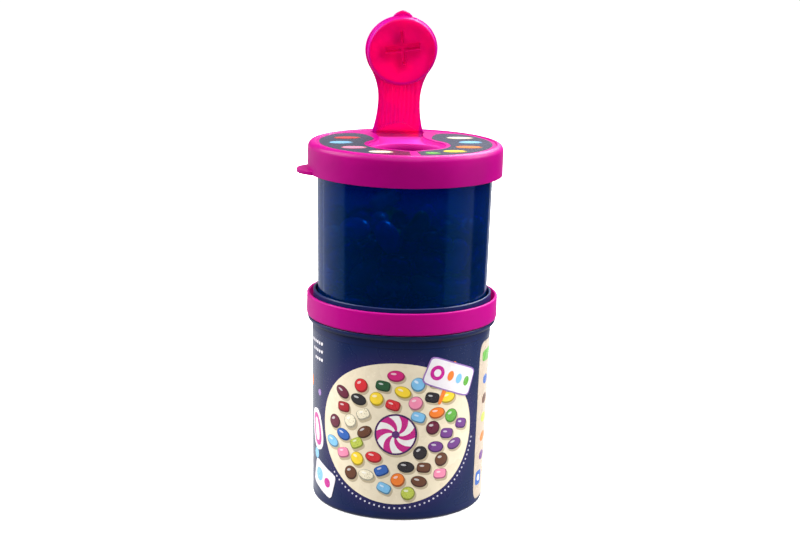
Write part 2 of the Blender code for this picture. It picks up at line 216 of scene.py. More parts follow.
# One jelly bean: blunt ends, a bend and a dent along its underside.
BEAN_SIZE_SPREAD = 0.05
BEAN_BEND = 14.0
BEAN_LIFT = 0.0003
BEAN_SIDES = 18
BEAN_RINGS = 14
BEAN_BLUNTNESS = 2.5
BEAN_FULLNESS = 0.42
BEAN_DENT = 0.20
BEAN_DENT_LENGTH = 0.0040
BEAN_TIP = 0.002

# How the heap settles. A step is one small fall, followed by passes that push beans apart.
BEAN_CLEARANCE = 0.0002
BEAN_START_PITCH = 0.00082
BEAN_START_TILT = 0.45
FALL_STEPS = 260
CALM_STEPS = 60
FALL_PER_STEP = 0.00010
KEPT_MOTION = 0.90
PUSH_PASSES = 3
PUSH_GAIN = 1.3
TINY = 1e-9

# Label: its middle faces the camera, a little to the left of -Y.
LABEL_TURN = math.radians(-6.9)
LABEL_LOW = 0.0043
LABEL_TOP = 0.0848
LABEL_R = 0.0425
DISC_U = -0.0014
DISC_V = 0.0432
DISC_HALF_U = 0.0404
DISC_HALF_V = 0.0346
HALO_REACH = (0.92, 1.30)
INK_STEP = 0.00004
PRINT_STEP = 0.0015
PRINT_SEED = 7

# Printed sweets: spread over the disc with a turn of the golden angle from one to the next.
GOLDEN_ANGLE = math.radians(137.508)
FIRST_SWEET_ANGLE = 0.4
SWEET_HALF = 0.0041
SWEET_MARGIN_U = 0.0050
SWEET_MARGIN_V = 0.0042
SWEET_LEAN = 0.6
SWEET_SHADOW = 0.16
SWEET_SHADOW_FALL = 1.6
SWEET_SHADOW_GROW = 1.02
SWEET_EDGE_SHADE = 0.42
SWEET_BODY = (0.88, 0.82)
SWEET_BODY_SHIFT = (0.25, 0.45)
SWEET_SHINE = (0.32, 0.17)
SWEET_SHINE_SHIFT = (0.28, 0.40)
CENTRE_R = 0.0092
CENTRE_CLEAR_R = 0.0128
CENTRE_SHADOW = (0.0006, -0.0009)
CENTRE_SHADOW_GROW = 1.13
CENTRE_RING_GROW = 1.10
CENTRE_HUB = 0.20
PINWHEEL_SECTORS = 12
PINWHEEL_TWIST = 0.9

# Kinds of printed sweet, as shares of its size and its squareness: 2 is an oval.
SWEET_KINDS = ((1.0, 0.68, 2.0), (0.84, 0.84, 2.0), (0.86, 0.62, 3.4))

# Dots round the disc's lower right, and rows of dots at the label's left.
DOT_COUNT = 40
DOT_START = -140.0
DOT_SWEEP = 134.0
DOT_OUT_U = 0.0022
DOT_OUT_V = 0.0020
DOT_R = 0.00045
ROW_U = -0.0446
ROW_V = 0.0805
ROW_PITCH_U = 0.0024
ROW_PITCH_V = 0.0040
ROW_DOT_R = 0.0008
ROW_COUNT = 3
ROW_LENGTH = 6

# The back of the label: a smaller disc of the same kind.
BACK_TURN = LABEL_TURN + math.radians(172.0)
BACK_HALF_U = 0.0300
BACK_SWEETS = 34

# Trims as (u, v, half width, half height, turn in degrees, squareness, ink, level).
CARD_ON_STICK = (
    (0.0230, 0.0672, 0.0010, 0.0108, -22.0, 4.0, "orange", 6),
    (0.0252, 0.0700, 0.0140, 0.0070, -21.0, 9.0, "lilac", 7),
    (0.0252, 0.0700, 0.0134, 0.0064, -21.0, 9.0, "card_white", 8),
    (0.0176, 0.0728, 0.0036, 0.0036, 0.0, 2.0, "magenta", 9),
    (0.0176, 0.0728, 0.0018, 0.0018, 0.0, 2.0, "card_white", 10),
    (0.0246, 0.0706, 0.0017, 0.0024, -21.0, 2.0, "orange", 9),
    (0.0294, 0.0686, 0.0017, 0.0024, -21.0, 2.0, "sky", 9),
    (0.0342, 0.0666, 0.0017, 0.0024, -21.0, 2.0, "leaf", 9),
)
LEFT_TRIMS = (
    (-0.0500, 0.0370, 0.0060, 0.0102, 14.0, 2.6, "card_white", 2),
    (-0.0500, 0.0370, 0.0042, 0.0080, 14.0, 2.6, "magenta", 3),
    (-0.0500, 0.0370, 0.0022, 0.0056, 14.0, 2.6, "card_white", 4),
    (-0.0596, 0.0590, 0.0028, 0.0028, 0.0, 2.0, "orange", 2),
    (-0.0470, 0.0560, 0.0016, 0.0016, 0.0, 2.0, "lilac", 2),
    (-0.0435, 0.0138, 0.0092, 0.0066, -17.0, 9.0, "card_white", 6),
    (-0.0470, 0.0150, 0.0034, 0.0034, 0.0, 2.0, "sky", 7),
    (-0.0396, 0.0126, 0.0024, 0.0024, 0.0, 2.0, "magenta", 7),
    (-0.0508, 0.0246, 0.0026, 0.0026, 0.0, 2.0, "sky", 2),
)

# The side panel: its turn from the label's middle, its ground, its trims and its rows of ovals.
PANEL_TURN = math.radians(84.5)
PANEL_GROUND = (0.0, 0.0430, 0.0174, 0.0396)
PANEL_SQUARENESS = 11.0
PANEL_TRIMS = (
    (0.0006, 0.0752, 0.0148, 0.0030, 0.0, 5.0, "leaf", 2),
    (-0.0118, 0.0138, 0.0036, 0.0036, 0.0, 5.0, "blue", 2),
    (-0.0118, 0.0138, 0.0016, 0.0016, 0.0, 2.0, "square_white", 3),
)
PANEL_ROWS = 5
PANEL_COLUMNS = 3
PANEL_U = -0.0086
PANEL_V = 0.0630
PANEL_PITCH_U = 0.0088
PANEL_PITCH_V = 0.0096
PANEL_OVAL_HALF = 0.0034
PANEL_OVAL_SQUAT = 0.7
PANEL_OVAL_LEAN = 0.3

# Label on the lid: a horseshoe round the recess, with ovals as (x, y, half sizes, colour).
LID_LABEL_R = 0.0412
LID_LABEL_INSET = 0.0028
LID_LABEL_OPEN = math.radians(3.5)
LID_LABEL_SPAN = math.radians(146.0)
LID_LABEL_STEPS = 120
LID_LABEL_ROUND_STEPS = 16
LID_LABEL_ROWS = 4
LID_OVAL_LEAN = 0.15
LID_OVAL_EDGE_SHADE = 0.30
LID_OVAL_SHADE = 0.62
LID_OVAL_BODY = (0.88, 0.84)
LID_OVAL_SHIFT = (-0.0003, 0.0004)
LID_OVALS = (
    (-0.0268, 0.0136, 0.0066, 0.0036, "red"),
    (-0.0310, -0.0016, 0.0058, 0.0040, "sky"),
    (-0.0262, -0.0170, 0.0060, 0.0038, "pink"),
    (-0.0150, -0.0300, 0.0058, 0.0034, "cream"),
    (0.0282, 0.0150, 0.0066, 0.0034, "cream"),
    (0.0312, 0.0010, 0.0058, 0.0038, "sky"),
    (0.0282, -0.0142, 0.0064, 0.0038, "orange"),
    (0.0196, -0.0272, 0.0056, 0.0034, "yellow"),
    (0.0086, -0.0330, 0.0036, 0.0028, "leaf"),
)

SWEET_COLOURS = {
    "yellow": (0.93, 0.66, 0.03),
    "lime": (0.52, 0.60, 0.08),
    "peach": (0.93, 0.52, 0.28),
    "orange": (0.86, 0.20, 0.02),
    "cherry": (0.36, 0.01, 0.02),
    "liquorice": (0.020, 0.016, 0.020),
    "bottle_green": (0.015, 0.09, 0.03),
    "cocoa": (0.13, 0.045, 0.02),
    "maroon": (0.13, 0.01, 0.035),
    "pink": (0.88, 0.26, 0.42),
    "sky": (0.20, 0.50, 0.78),
    "leaf": (0.12, 0.40, 0.05),
    "red": (0.66, 0.02, 0.03),
    "plum": (0.16, 0.04, 0.24),
    "cream": (0.90, 0.82, 0.62),
    "blue": (0.03, 0.12, 0.45),
    "raspberry": (0.62, 0.01, 0.18),
}
SPECKLED = ("lime", "peach", "bottle_green", "cream")
INKS = {
    "card_white": (0.80, 0.76, 0.79),
    "square_white": (0.86, 0.86, 0.88),
    "stripe_white": (0.88, 0.86, 0.84),
    "stripe_magenta": (0.55, 0.01, 0.22),
    "magenta": (0.52, 0.01, 0.26),
    "lilac": (0.30, 0.16, 0.46),
    "pale_lilac": (0.62, 0.60, 0.72),
    "ring_violet": (0.055, 0.010, 0.090),
    "hub_violet": (0.10, 0.02, 0.16),
    "shadow": (0.50, 0.41, 0.27),
    **SWEET_COLOURS,
}

# Camera: its place is given before the turn to the label's side.
CAMERA_LENS = 80.04
CAMERA_SENSOR = 36.0
CAMERA_NEAR = 0.01
CAMERA_PLACE = (-0.00131, -0.83767, 0.29948)
CAMERA_DOWN_DEG = 12.462
CAMERA_ROLL_DEG = 1.409

# Studio: the lights face a point on the jar's axis, and the table throws some light back up.
FLOOR_RADIUS = 6.0
FLOOR_PAPER_SCALE = 30.0
FLOOR_GREYS = ((0.86, 0.86, 0.86), (0.90, 0.90, 0.90))
# The floor's glow: half as bright at the jar, a painted shadow, and white from the far end of
# FLOOR_SHADOW_FADE_R on.
FLOOR_GLOWS_SHADOW_TO_WHITE = ((0.5, 0.5, 0.5), (1.0, 1.0, 1.0))
FLOOR_SHADOW_FADE_R = (0.05, 0.20)
LIT_HEIGHT = 0.12
ROOM_COLOUR = (0.022, 0.024, 0.030)
BOUNCE_DIAMETER = 0.68
BOUNCE_POWER = 0.68
BOUNCE_HEIGHT = 0.0005

# Name, azimuth, elevation, distance, width, height, power.
STUDIO_LIGHTS = (
    ("backdrop_light", -171.0, -14.0, 1.30, 2.0, 0.8, 3.0),
    ("low_back_light", 180.0, 13.0, 1.30, 0.9, 0.35, 0.40),
    ("left_softbox", -109.0, -10.0, 1.0, 0.93, 0.6, 1.20),
    ("right_softbox", 80.0, -10.0, 1.0, 0.80, 0.6, 0.75),
    ("high_left_softbox", -95.0, 35.0, 1.2, 0.8, 0.8, 25.0),
    ("high_right_softbox", 95.0, 35.0, 1.2, 0.8, 0.8, 28.0),
    ("top_softbox", 0.0, 88.0, 1.0, 1.2, 1.2, 5.0),
    ("high_back_softbox", 152.0, 45.0, 1.2, 0.7, 0.7, 28.0),
    ("front_top_softbox", 0.0, 50.0, 1.1, 1.5, 1.2, 15.0),
)


def distance(name, description, default):
    return FloatProperty(name=name, description=description, default=default, min=0.0,
                         precision=5, subtype="DISTANCE", unit="LENGTH")


def tint(name, description, default):
    return FloatVectorProperty(name=name, description=description, default=default, size=3,
                               min=0.0, max=1.0, subtype="COLOR")


class DispenserSizes(bpy.types.PropertyGroup):
    """Main sizes of the cups, the lid and the flip tab."""

    lower_base_radius: distance("Lower cup base", "Radius at the lower cup's base", 0.0417)
    lower_top_radius: distance("Lower cup top", "Radius under the lower cup's flange", 0.0433)
    flange_radius: distance("Flange", "Radius of the flange that carries the band", 0.0455)
    band_radius: distance("Collar band", "Outer radius of the collar band", 0.0460)
    cup_foot_radius: distance("Upper cup foot", "Outer radius at the upper cup's foot", 0.0406)
    cup_neck_radius: distance("Upper cup neck", "Outer radius under the lid", 0.0418)
    cup_wall: distance("Upper cup wall", "Thickness of the upper cup's wall", 0.0012)
    lid_radius: distance("Lid", "Outer radius of the lid's skirt", 0.0465)
    hinge_y: distance("Hinge", "Distance of the hinge line behind the axis", 0.0358)
    tab_lean: FloatProperty(name="Tab lean", description="Forward lean of the open flip tab",
                            default=math.radians(11.5), subtype="ANGLE", unit="ROTATION")
    disc_radius: distance("Tab disc", "Radius of the flip tab's disc", 0.0176)
    disc_arm: distance("Tab arm", "Distance from the hinge to the disc's centre", 0.0424)
    strap_half_width: distance("Strap", "Half the strap's width at its waist", 0.0103)
    plug_radius: distance("Plug", "Radius of the plug that shuts the pour hole", 0.0167)
    bean_length: distance("Bean length", "Length of a jelly bean", 0.0170)
    bean_width: distance("Bean width", "Width of a jelly bean", 0.0108)
    bean_thickness: distance("Bean thickness", "Thickness of a jelly bean", 0.0098)
    bean_count: IntProperty(name="Beans", description="Number of jelly beans in the cup",
                            default=120, min=1, max=300)
    bean_seed: IntProperty(name="Bean seed", description="Seed of the heap", default=11)
    sweet_count: IntProperty(name="Printed sweets", description="Sweets printed on the label",
                             default=52, min=1, max=90)


class DispenserColours(bpy.types.PropertyGroup):
    """Colours of the plastics and the print, as linear values."""

    navy: tint("Navy", "Bare plastic of the lower cup", (0.001, 0.008, 0.062))
    label: tint("Label", "Ground of the printed label", (0.001, 0.010, 0.062))
    halo: tint("Halo", "Glow printed round the disc", (0.022, 0.014, 0.092))
    magenta: tint("Magenta", "Band and lid", (0.39, 0.0, 0.192))
    glow: tint("Glow", "Light that comes through thin magenta plastic", (0.98, 0.0, 0.33))
    hot_pink: tint("Hot pink", "Front of the flip tab", (0.85, 0.0, 0.17))
    lid_glow: tint("Lid glow", "Light through the band and the lid", (0.90, 0.0, 0.50))
    # Painted glow and reflection on the recess floor, set as its colour.
    recess_painted_glow: tint("Thin web", "The lid where it is thin, in the recess", (0.72, 0.03, 0.38))
    # Painted shade on the flip tab's side rims and round its plug.
    tab_rim_shade: tint("Tab edge", "Thicker rims of the flip tab", (0.42, 0.0, 0.32))
    panel: tint("Panel", "Plain panel at the side of the label", (0.56, 0.46, 0.36))
    clear_blue: tint("Clear blue", "Upper cup's translucent plastic", (0.0002, 0.060, 0.36))
    haze: tint("Haze", "Milky blue of the upper cup's plastic", (0.0, 0.062, 0.30))
    disc: tint("Printed disc", "Ground of the printed disc", (0.80, 0.70, 0.52))
    lid_label: tint("Lid label", "Ground of the label on the lid", (0.010, 0.012, 0.036))


def shade(colour, share):
    """A colour made darker, or brighter with a share above 1."""
    return tuple(min(1.0, c * share) for c in colour)


class Term:
    """A number in a shader: each operator adds the Math node that works it out."""

    def __init__(self, finish, node, output=0):
        self.finish = finish
        self.node = node
        self.socket = node.outputs[output]

    def of(self, output):
        """The same node's value at another output."""
        return Term(self.finish, self.node, output)

    def math(self, operation, *terms):
        """A Math node over numbers and terms."""
        return self.finish.add("ShaderNodeMath", {"operation": operation}, dict(enumerate(terms)))

    def __add__(self, other):
        return self.math("ADD", self, other)

    def __sub__(self, other):
        return self.math("SUBTRACT", self, other)

    def __rsub__(self, other):
        return self.math("SUBTRACT", other, self)

    def __mul__(self, other):
        return self.math("MULTIPLY", self, other)

    def __truediv__(self, other):
        return self.math("DIVIDE", self, other)

    def __pow__(self, other):
        return self.math("POWER", self, other)

    __radd__ = __add__
    __rmul__ = __mul__

    def __abs__(self):
        return self.math("ABSOLUTE", self)

    def cosine(self):
        return self.math("COSINE", self)

    def turned_from(self, other):
        """The angle whose sine and cosine are as this number to the other."""
        return self.math("ARCTAN2", self, other)

    def rise(self, low, high):
        """0 up to low, 1 from high on, and smooth between them."""
        return self.finish.add("ShaderNodeMapRange", {"interpolation_type": "SMOOTHSTEP"},
                               {"Value": self, "From Min": low, "From Max": high})

    def past(self, edge, mask):
        """Rises from 0 to 1 past an edge, over a mask's start and end."""
        return self.rise(edge + mask[0], edge + mask[1])


class Finish:
    """A material in the making: place is the point on the object, and add makes any node."""

    def __init__(self, name):
        self.material = bpy.data.materials.new(name)
        self.material.use_nodes = True
        self.tree = self.material.node_tree
        self.principled = self.tree.nodes["Principled BSDF"]
        self.output = self.tree.nodes["Material Output"]
        self.place = self.add("ShaderNodeTexCoord", output="Object")

    def put(self, node, sockets):
        """Sets or links a node's sockets, each by its name or its index."""
        for key, value in sockets.items():
            socket = node.inputs[key]
            if isinstance(value, Term):
                self.tree.links.new(value.socket, socket)
            else:
                socket.default_value = (*value, 1.0) if socket.type == "RGBA" else value

    def add(self, kind, settings=None, sockets=None, output=0):
        """Adds a node: its settings come first, then its sockets' values and links."""
        node = self.tree.nodes.new(kind)
        for key, value in (settings or {}).items():
            setattr(node, key, value)
        self.put(node, sockets or {})
        return Term(self, node, output)

    def surface(self, **sockets):
        """Sets the main shader's sockets: a name's underscores stand for spaces."""
        self.put(self.principled, {key.replace("_", " "): value for key, value in sockets.items()})

    def blend(self, share, first, second):
        """A mix of two colours."""
        mix = self.add("ShaderNodeMix", {"data_type": "RGBA"}, {0: share, 6: first, 7: second})
        return mix.of(2)

    def split(self, vector):
        """The three numbers of a vector."""
        first = self.add("ShaderNodeSeparateXYZ", None, {0: vector})
        return first, first.of(1), first.of(2)

    def times(self, first, second):
        """The product of two colours."""
        return self.add("ShaderNodeVectorMath", {"operation": "MULTIPLY"}, {0: first, 1: second})

    def noise(self, scale, detail=2.0):
        """Smooth noise round 0.5, with a scale per metre."""
        return self.add("ShaderNodeTexNoise", None,
                        {"Vector": self.place, "Scale": scale, "Detail": detail})

    def bump(self, height, distance_m, strength):
        """A normal from a height of 0 to 1, which stands for a distance in metres."""
        return self.add("ShaderNodeBump", None,
                        {"Height": height, "Distance": distance_m, "Strength": strength})

    def grain(self, scale):
        """The fine grain of moulded plastic, as a normal."""
        return self.bump(self.noise(scale), GRAIN_DEPTH, GRAIN_STRENGTH)

    def roughness(self, low, high):
        """Roughness with slow variation and fine handling marks."""
        slow = self.noise(WEAR_SCALE)
        marks = self.noise(MARK_SCALE, 4.0).rise(*MARK_RISE)
        return low + (high - low) * slow + marks * MARK_ROUGHNESS

    def glow_through(self, share, colour):
        """Lets light from behind through: a share of the surface is translucent."""
        self.mix_in(share, self.add("ShaderNodeBsdfTranslucent", None, {"Color": colour}))

    def milky(self, share, colour):
        """Clouds a clear plastic: a share of the surface is matt."""
        self.mix_in(share, self.add("ShaderNodeBsdfDiffuse", None, {"Color": colour}))

    def mix_in(self, share, shader):
        """Mixes a shader over the main one."""
        mixed = self.add("ShaderNodeMixShader", None, {0: share, 2: shader})
        self.tree.links.new(self.principled.outputs[0], mixed.node.inputs[1])
        self.tree.links.new(mixed.socket, self.output.inputs["Surface"])


def arc(centre_r, centre_z, radius, start_deg, end_deg, steps):
    """Points on an arc in the (r, z) plane, both ends included."""
    points = []
    for i in range(steps + 1):
        angle = math.radians(start_deg + (end_deg - start_deg) * i / steps)
        points.append((centre_r + radius * math.cos(angle), centre_z + radius * math.sin(angle)))
    return points


def circle(centre_y=0.0):
    """A family of circles: an outline for each radius."""
    def outline(radius):
        return [(radius * math.cos(math.tau * i / SEGMENTS),
                 centre_y + radius * math.sin(math.tau * i / SEGMENTS)) for i in range(SEGMENTS)]
    return outline


def sweep(bm, outline, profile, closed=False):
    """Rings of an outline along a (grow, height) profile, with faces between; returns the end rings."""
    rings = [[bm.verts.new((x, y, height)) for x, y in outline(grow)] for grow, height in profile]
    pairs = list(zip(rings, rings[1:]))
    if closed:
        pairs.append((rings[-1], rings[0]))
    for low, high in pairs:
        bridge(bm, low, high)
    return rings[0], rings[-1]


def bridge(bm, low, high):
    """Faces between two rings with as many points."""
    for i, vert in enumerate(low):
        j = (i + 1) % len(low)
        bm.faces.new((vert, low[j], high[j], high[i]))


def skin(bm, rings):
    """Faces between rings, and a cap at each end."""
    for low, high in zip(rings, rings[1:]):
        bridge(bm, low, high)
    bm.faces.new(rings[0])
    bm.faces.new(rings[-1])


def fill(bm, *rings):
    """Flat faces inside one ring, or between an outer and an inner one."""
    edges = []
    for ring in rings:
        for i, vert in enumerate(ring):
            pair = (vert, ring[(i + 1) % len(ring)])
            edges.append(bm.edges.get(pair) or bm.edges.new(pair))
    bmesh.ops.triangle_fill(bm, use_beauty=True, edges=edges)


def closed_mesh(name, bm):
    """A finished bmesh as a mesh with its faces pointing out."""
    bmesh.ops.recalc_face_normals(bm, faces=bm.faces)
    mesh = bpy.data.meshes.new(name)
    bm.to_mesh(mesh)
    bm.free()
    return mesh


def tinted_mesh(name, points, faces, tints):
    """A mesh with a colour at each point; its alpha says how speckled it is."""
    mesh = bpy.data.meshes.new(name)
    mesh.from_pydata(points, [], faces)
    attribute = mesh.attributes.new("tint", "FLOAT_COLOR", "POINT")
    attribute.data.foreach_set("color", np.array(tints, np.float32).ravel())
    return mesh


def link(name, data):
    """A new object in the scene, from a mesh, a light or a camera."""
    obj = bpy.data.objects.new(name, data)
    bpy.context.scene.collection.objects.link(obj)
    return obj


def smooth_object(name, mesh, material):
    """An object with a material, smooth but for its sharp edges."""
    mesh.materials.append(material)
    mesh.shade_smooth()
    mesh.set_sharp_from_angle(angle=SHARP_ANGLE)
    return link(name, mesh)


def add_piece(name, bm, material, body, slot, *nodes):
    """Turns a finished bmesh into a piece that rides on a body and stands for nodes."""
    obj = smooth_object(name, closed_mesh(name, bm), material)
    weighted = obj.modifiers.new("flat faces stay flat", "WEIGHTED_NORMAL")
    weighted.keep_sharp = True
    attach(obj, body)
    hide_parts(*nodes)


def fused(*forms):
    """The union of closed forms, as one skin."""
    objects = [link("form", closed_mesh("form", form)) for form in forms]
    for obj in objects[1:]:
        union = objects[0].modifiers.new("union", "BOOLEAN")
        union.operation = "UNION"
        union.use_self = True
        union.object = obj
    result = bmesh.new()
    result.from_object(objects[0], bpy.context.evaluated_depsgraph_get())
    for obj in objects:
        bpy.data.meshes.remove(obj.data)
    return result


def wall_radius(sizes, z):
    """Radius of the lower cup's wall at a height."""
    share = (z - LOWER_CORNER) / (FLANGE_Z - LOWER_CORNER)
    return sizes.lower_base_radius + (sizes.lower_top_radius - sizes.lower_base_radius) * share


def disc_fillet(sizes):
    """Radius of the arc that leaves the strap's waist upright and meets the disc as a tangent."""
    rise = sizes.disc_arm - STRAP_WAIST
    half = sizes.strap_half_width
    return (half ** 2 + rise ** 2 - sizes.disc_radius ** 2) / (2 * (sizes.disc_radius - half))


def tab_side(sizes, height):
    """Half width of the strap below the disc, at a height above the hinge."""
    flare = disc_fillet(sizes) if height > STRAP_WAIST else STRAP_FOOT_CURVE
    return sizes.strap_half_width + flare - math.sqrt(flare ** 2 - (height - STRAP_WAIST) ** 2)


def tab_outline(sizes, foot, grow):
    """Strap, disc and thumb lip as (x, height) points, right half first."""
    radius = sizes.disc_radius
    fillet = disc_fillet(sizes)
    spread = math.hypot(sizes.strap_half_width + fillet, sizes.disc_arm - STRAP_WAIST)
    meet_height = sizes.disc_arm - radius * (sizes.disc_arm - STRAP_WAIST) / spread
    base = foot - min(grow, 0.0)
    strap_steps = 28
    right = []
    for i in range(strap_steps):
        height = base + (meet_height - base) * i / strap_steps
        right.append((tab_side(sizes, height) + grow, height))
    start = math.asin((meet_height - sizes.disc_arm) / radius)
    crown = radius * DISC_CROWN + grow
    lip_half = LIP_HALF_WIDTH + grow / 2
    end = math.acos(lip_half / (radius + grow))
    disc_steps = 44
    for i in range(disc_steps + 1):
        angle = start + (end - start) * i / disc_steps
        rise = crown if angle > 0 else radius + grow
        right.append(((radius + grow) * math.cos(angle), sizes.disc_arm + rise * math.sin(angle)))
    lip_foot = right[-1][1]
    lip_top = sizes.disc_arm + crown + LIP_REACH
    lip_steps = 12
    for i in range(1, lip_steps):
        angle = math.pi / 2 * i / lip_steps
        right.append((lip_half * math.cos(angle) ** LIP_POINT,
                      lip_foot + (lip_top - lip_foot) * math.sin(angle) ** LIP_POINT))
    left = [(-x, height) for x, height in reversed(right)]
    return right + [(0.0, lip_top)] + left


def recess_outline(sizes):
    """The tab's outline laid forward on the lid: a family of (x, y) outlines."""
    def outline(grow):
        return [(x, sizes.hinge_y - height) for x, height in tab_outline(sizes, 0.0, max(grow, 0.0))]
    return outline


def navy_finish(colours):
    """Satin navy plastic: a label moulded into it is glossier and a little purpler."""
    finish = Finish("satin_navy")
    x, y, z = finish.split(finish.place)
    label = z.rise(LABEL_LOW, LABEL_LOW + EDGE) * (1 - z.rise(LABEL_TOP, LABEL_TOP + EDGE))
    seam = (1 - ((z - LABEL_TOP) / EDGE) ** 2).rise(0.0, 1.0)
    halo = None
    for turn, half_u, middle_u in ((LABEL_TURN, DISC_HALF_U, DISC_U), (BACK_TURN, BACK_HALF_U, 0.0)):
        ahead_x, ahead_y = math.sin(turn), -math.cos(turn)
        forward = x * ahead_x + y * ahead_y
        across = x * -ahead_y + y * ahead_x
        along = across.turned_from(forward) * LABEL_R - middle_u
        reach = ((along / half_u) ** 2.0 + ((z - DISC_V) / DISC_HALF_V) ** 2.0) ** 0.5
        ring = 1 - reach.rise(*HALO_REACH)
        halo = ring if halo is None else halo + ring
    cloud = finish.noise(45.0, 3.0)
    ground = finish.blend(halo * (0.45 + 0.55 * cloud), colours.label, colours.halo)
    worn = finish.blend(finish.noise(220.0, 4.0).rise(0.45, 0.75) * 0.25,
                        colours.navy, shade(colours.navy, 1.7))
    colour = finish.blend(label, worn, ground)
    colour = finish.blend(seam * 0.5, colour, shade(colours.navy, 0.35))
    finish.surface(Base_Color=colour,
                   Roughness=finish.roughness(0.30, 0.44) - label * 0.10,
                   Specular_IOR_Level=0.28, Normal=finish.grain(1800.0))
    return finish.material


def magenta_finish(colours):
    """Satin magenta plastic, thin enough to glow a little with light behind it, with painted light on the
    band and a painted glow on the recess floor.
    """
    finish = Finish("satin_magenta")
    x, y, z = finish.split(finish.place)
    flow = finish.noise(38.0, 3.0)
    colour = finish.blend(flow.rise(0.30, 0.72), shade(colours.magenta, 0.90),
                          shade(colours.magenta, 1.10))
    # Painted light: the band is made a shade lighter, against the shade that the lid casts on it.
    band = 1 - z.rise(CUP_FOOT_Z, BAND_PAINTED_LIGHT_TOP)
    colour = finish.blend(band, colour, shade(colours.magenta, 1.28))
    # Painted glow and reflection: the recess floor is coloured lighter and pinker.
    inside = 1 - ((x ** 2 + y ** 2) ** 0.5).rise(*RECESS_MASK_R)
    sunk = (1 - z.past(LID_TOP, RECESS_MASK_TOP)) * z.rise(RECESS_FLOOR - RECESS_MASK_DEPTH, RECESS_FLOOR)
    colour = finish.blend(inside * sunk, colour, colours.recess_painted_glow)
    finish.surface(Base_Color=colour,
                   Roughness=finish.roughness(0.33, 0.44), Specular_IOR_Level=0.18,
                   Normal=finish.grain(1500.0))
    finish.glow_through(LID_GLOW, colours.lid_glow)
    return finish.material


def tab_finish(sizes, colours):
    """Thin magenta plastic that glows hot pink with light behind it, with painted shade: purpler at its
    rims, round its plug and in its cross slot.
    """
    finish = Finish("glowing_magenta")
    x, y, z = finish.split(finish.place)
    cosine, sine = math.cos(sizes.tab_lean), math.sin(sizes.tab_lean)
    back, rise = y - sizes.hinge_y, z - HINGE_Z
    height = rise * cosine - back * sine
    depth = back * -cosine - rise * sine
    reach = (x ** 2 + (height - sizes.disc_arm) ** 2) ** 0.5
    face_reach = (x ** 2 + (height - sizes.disc_arm - PLUG_MASK_RISE) ** 2) ** 0.5
    # Painted shade: a purple ring round the plug, where its side and its shadow fall.
    flange = face_reach.past(sizes.plug_radius, PLUG_MASK)
    plug = 1 - flange
    flange = flange * (1 - reach.past(sizes.disc_radius, DISC_MASK))
    normal_x, normal_y, normal_z = finish.split(finish.add("ShaderNodeTexCoord", output="Normal"))
    # Painted shade on the sides, by the way the surface faces, and on the strap's edges.
    side = abs(normal_x).rise(0.40, 0.95)
    below_disc = reach.past(sizes.disc_radius, STRAP_MASK)
    side = side + below_disc * (1 - side) * abs(x).past(sizes.strap_half_width, STRAP_SIDE_MASK)
    rim_shade_mask = flange + side * (1 - flange)
    face = TAB_THICK + PLUG_DEPTH
    outward = normal_y * -cosine - normal_z * sine
    # Painted shade in the cross slot: its floor and walls below the tab's face.
    slot = (1 - depth.rise(face - CROSS_DEPTH, face - EDGE)) * outward.rise(-0.3, 0.2)
    slot = slot * (1 - reach.past(CROSS_LENGTH / 2, CROSS_MASK))
    arch = height + x ** 2 * (ARCH_DROP / sizes.strap_half_width ** 2)
    above_arch = arch.past(ARCH_HEIGHT, ARCH_MASK)
    ribs = (x * (math.tau / RIB_PITCH)).cosine().rise(-0.2, 1.0) * above_arch * below_disc
    band = 1 - abs(arch - ARCH_HEIGHT).rise(*ROPE_MASK)
    strokes = ((x + height * 0.5) * (math.tau * ARCH_NOTCHES / (2 * ARCH_HALF_WIDTH))).cosine()
    rope = band * strokes.rise(-0.3, 0.6)
    flow = finish.noise(70.0, 3.0)
    colour = finish.blend(flow.rise(0.3, 0.7), colours.hot_pink, colours.magenta)
    # Painted shade: the rims and the ring round the plug are made purpler.
    colour = finish.blend(rim_shade_mask, colour, colours.tab_rim_shade)
    # Painted shade: the cross slot is made darker magenta.
    colour = finish.blend(slot * 0.7, colour, colours.magenta)
    finish.surface(Base_Color=colour,
                   Roughness=finish.roughness(0.32, 0.44), Specular_IOR_Level=0.20,
                   Normal=finish.grain(1500.0))
    share = TAB_GLOW - ribs * RIB_SHADE - rope * ROPE_SHADE - rim_shade_mask * RIM_SHADE - slot * SLOT_SHADE
    share = share + plug * PLUG_GLOW + (1 - reach.rise(*DISH_MASK)) * DISH_GLOW
    share = share + (1 - above_arch) * FOOT_GLOW
    finish.glow_through(share, colours.glow)
    return finish.material


def clear_blue_finish(colours):
    """Glossy translucent blue plastic."""
    finish = Finish("clear_deep_blue")
    flow = finish.noise(30.0, 2.0)
    colour = finish.blend(flow, shade(colours.clear_blue, 0.85),
                          shade(colours.clear_blue, 1.15))
    smears = finish.noise(25.0, 4.0).rise(0.5, 0.8)
    finish.surface(Base_Color=colour, Roughness=0.11 + smears * 0.05, IOR=1.49,
                   Transmission_Weight=1.0, Specular_Tint=(0.03, 0.45, 1.0),
                   Normal=finish.bump(finish.noise(140.0, 2.0), 0.00006, 0.2))
    finish.milky(0.06 + flow * 0.08, colours.haze)
    return finish.material


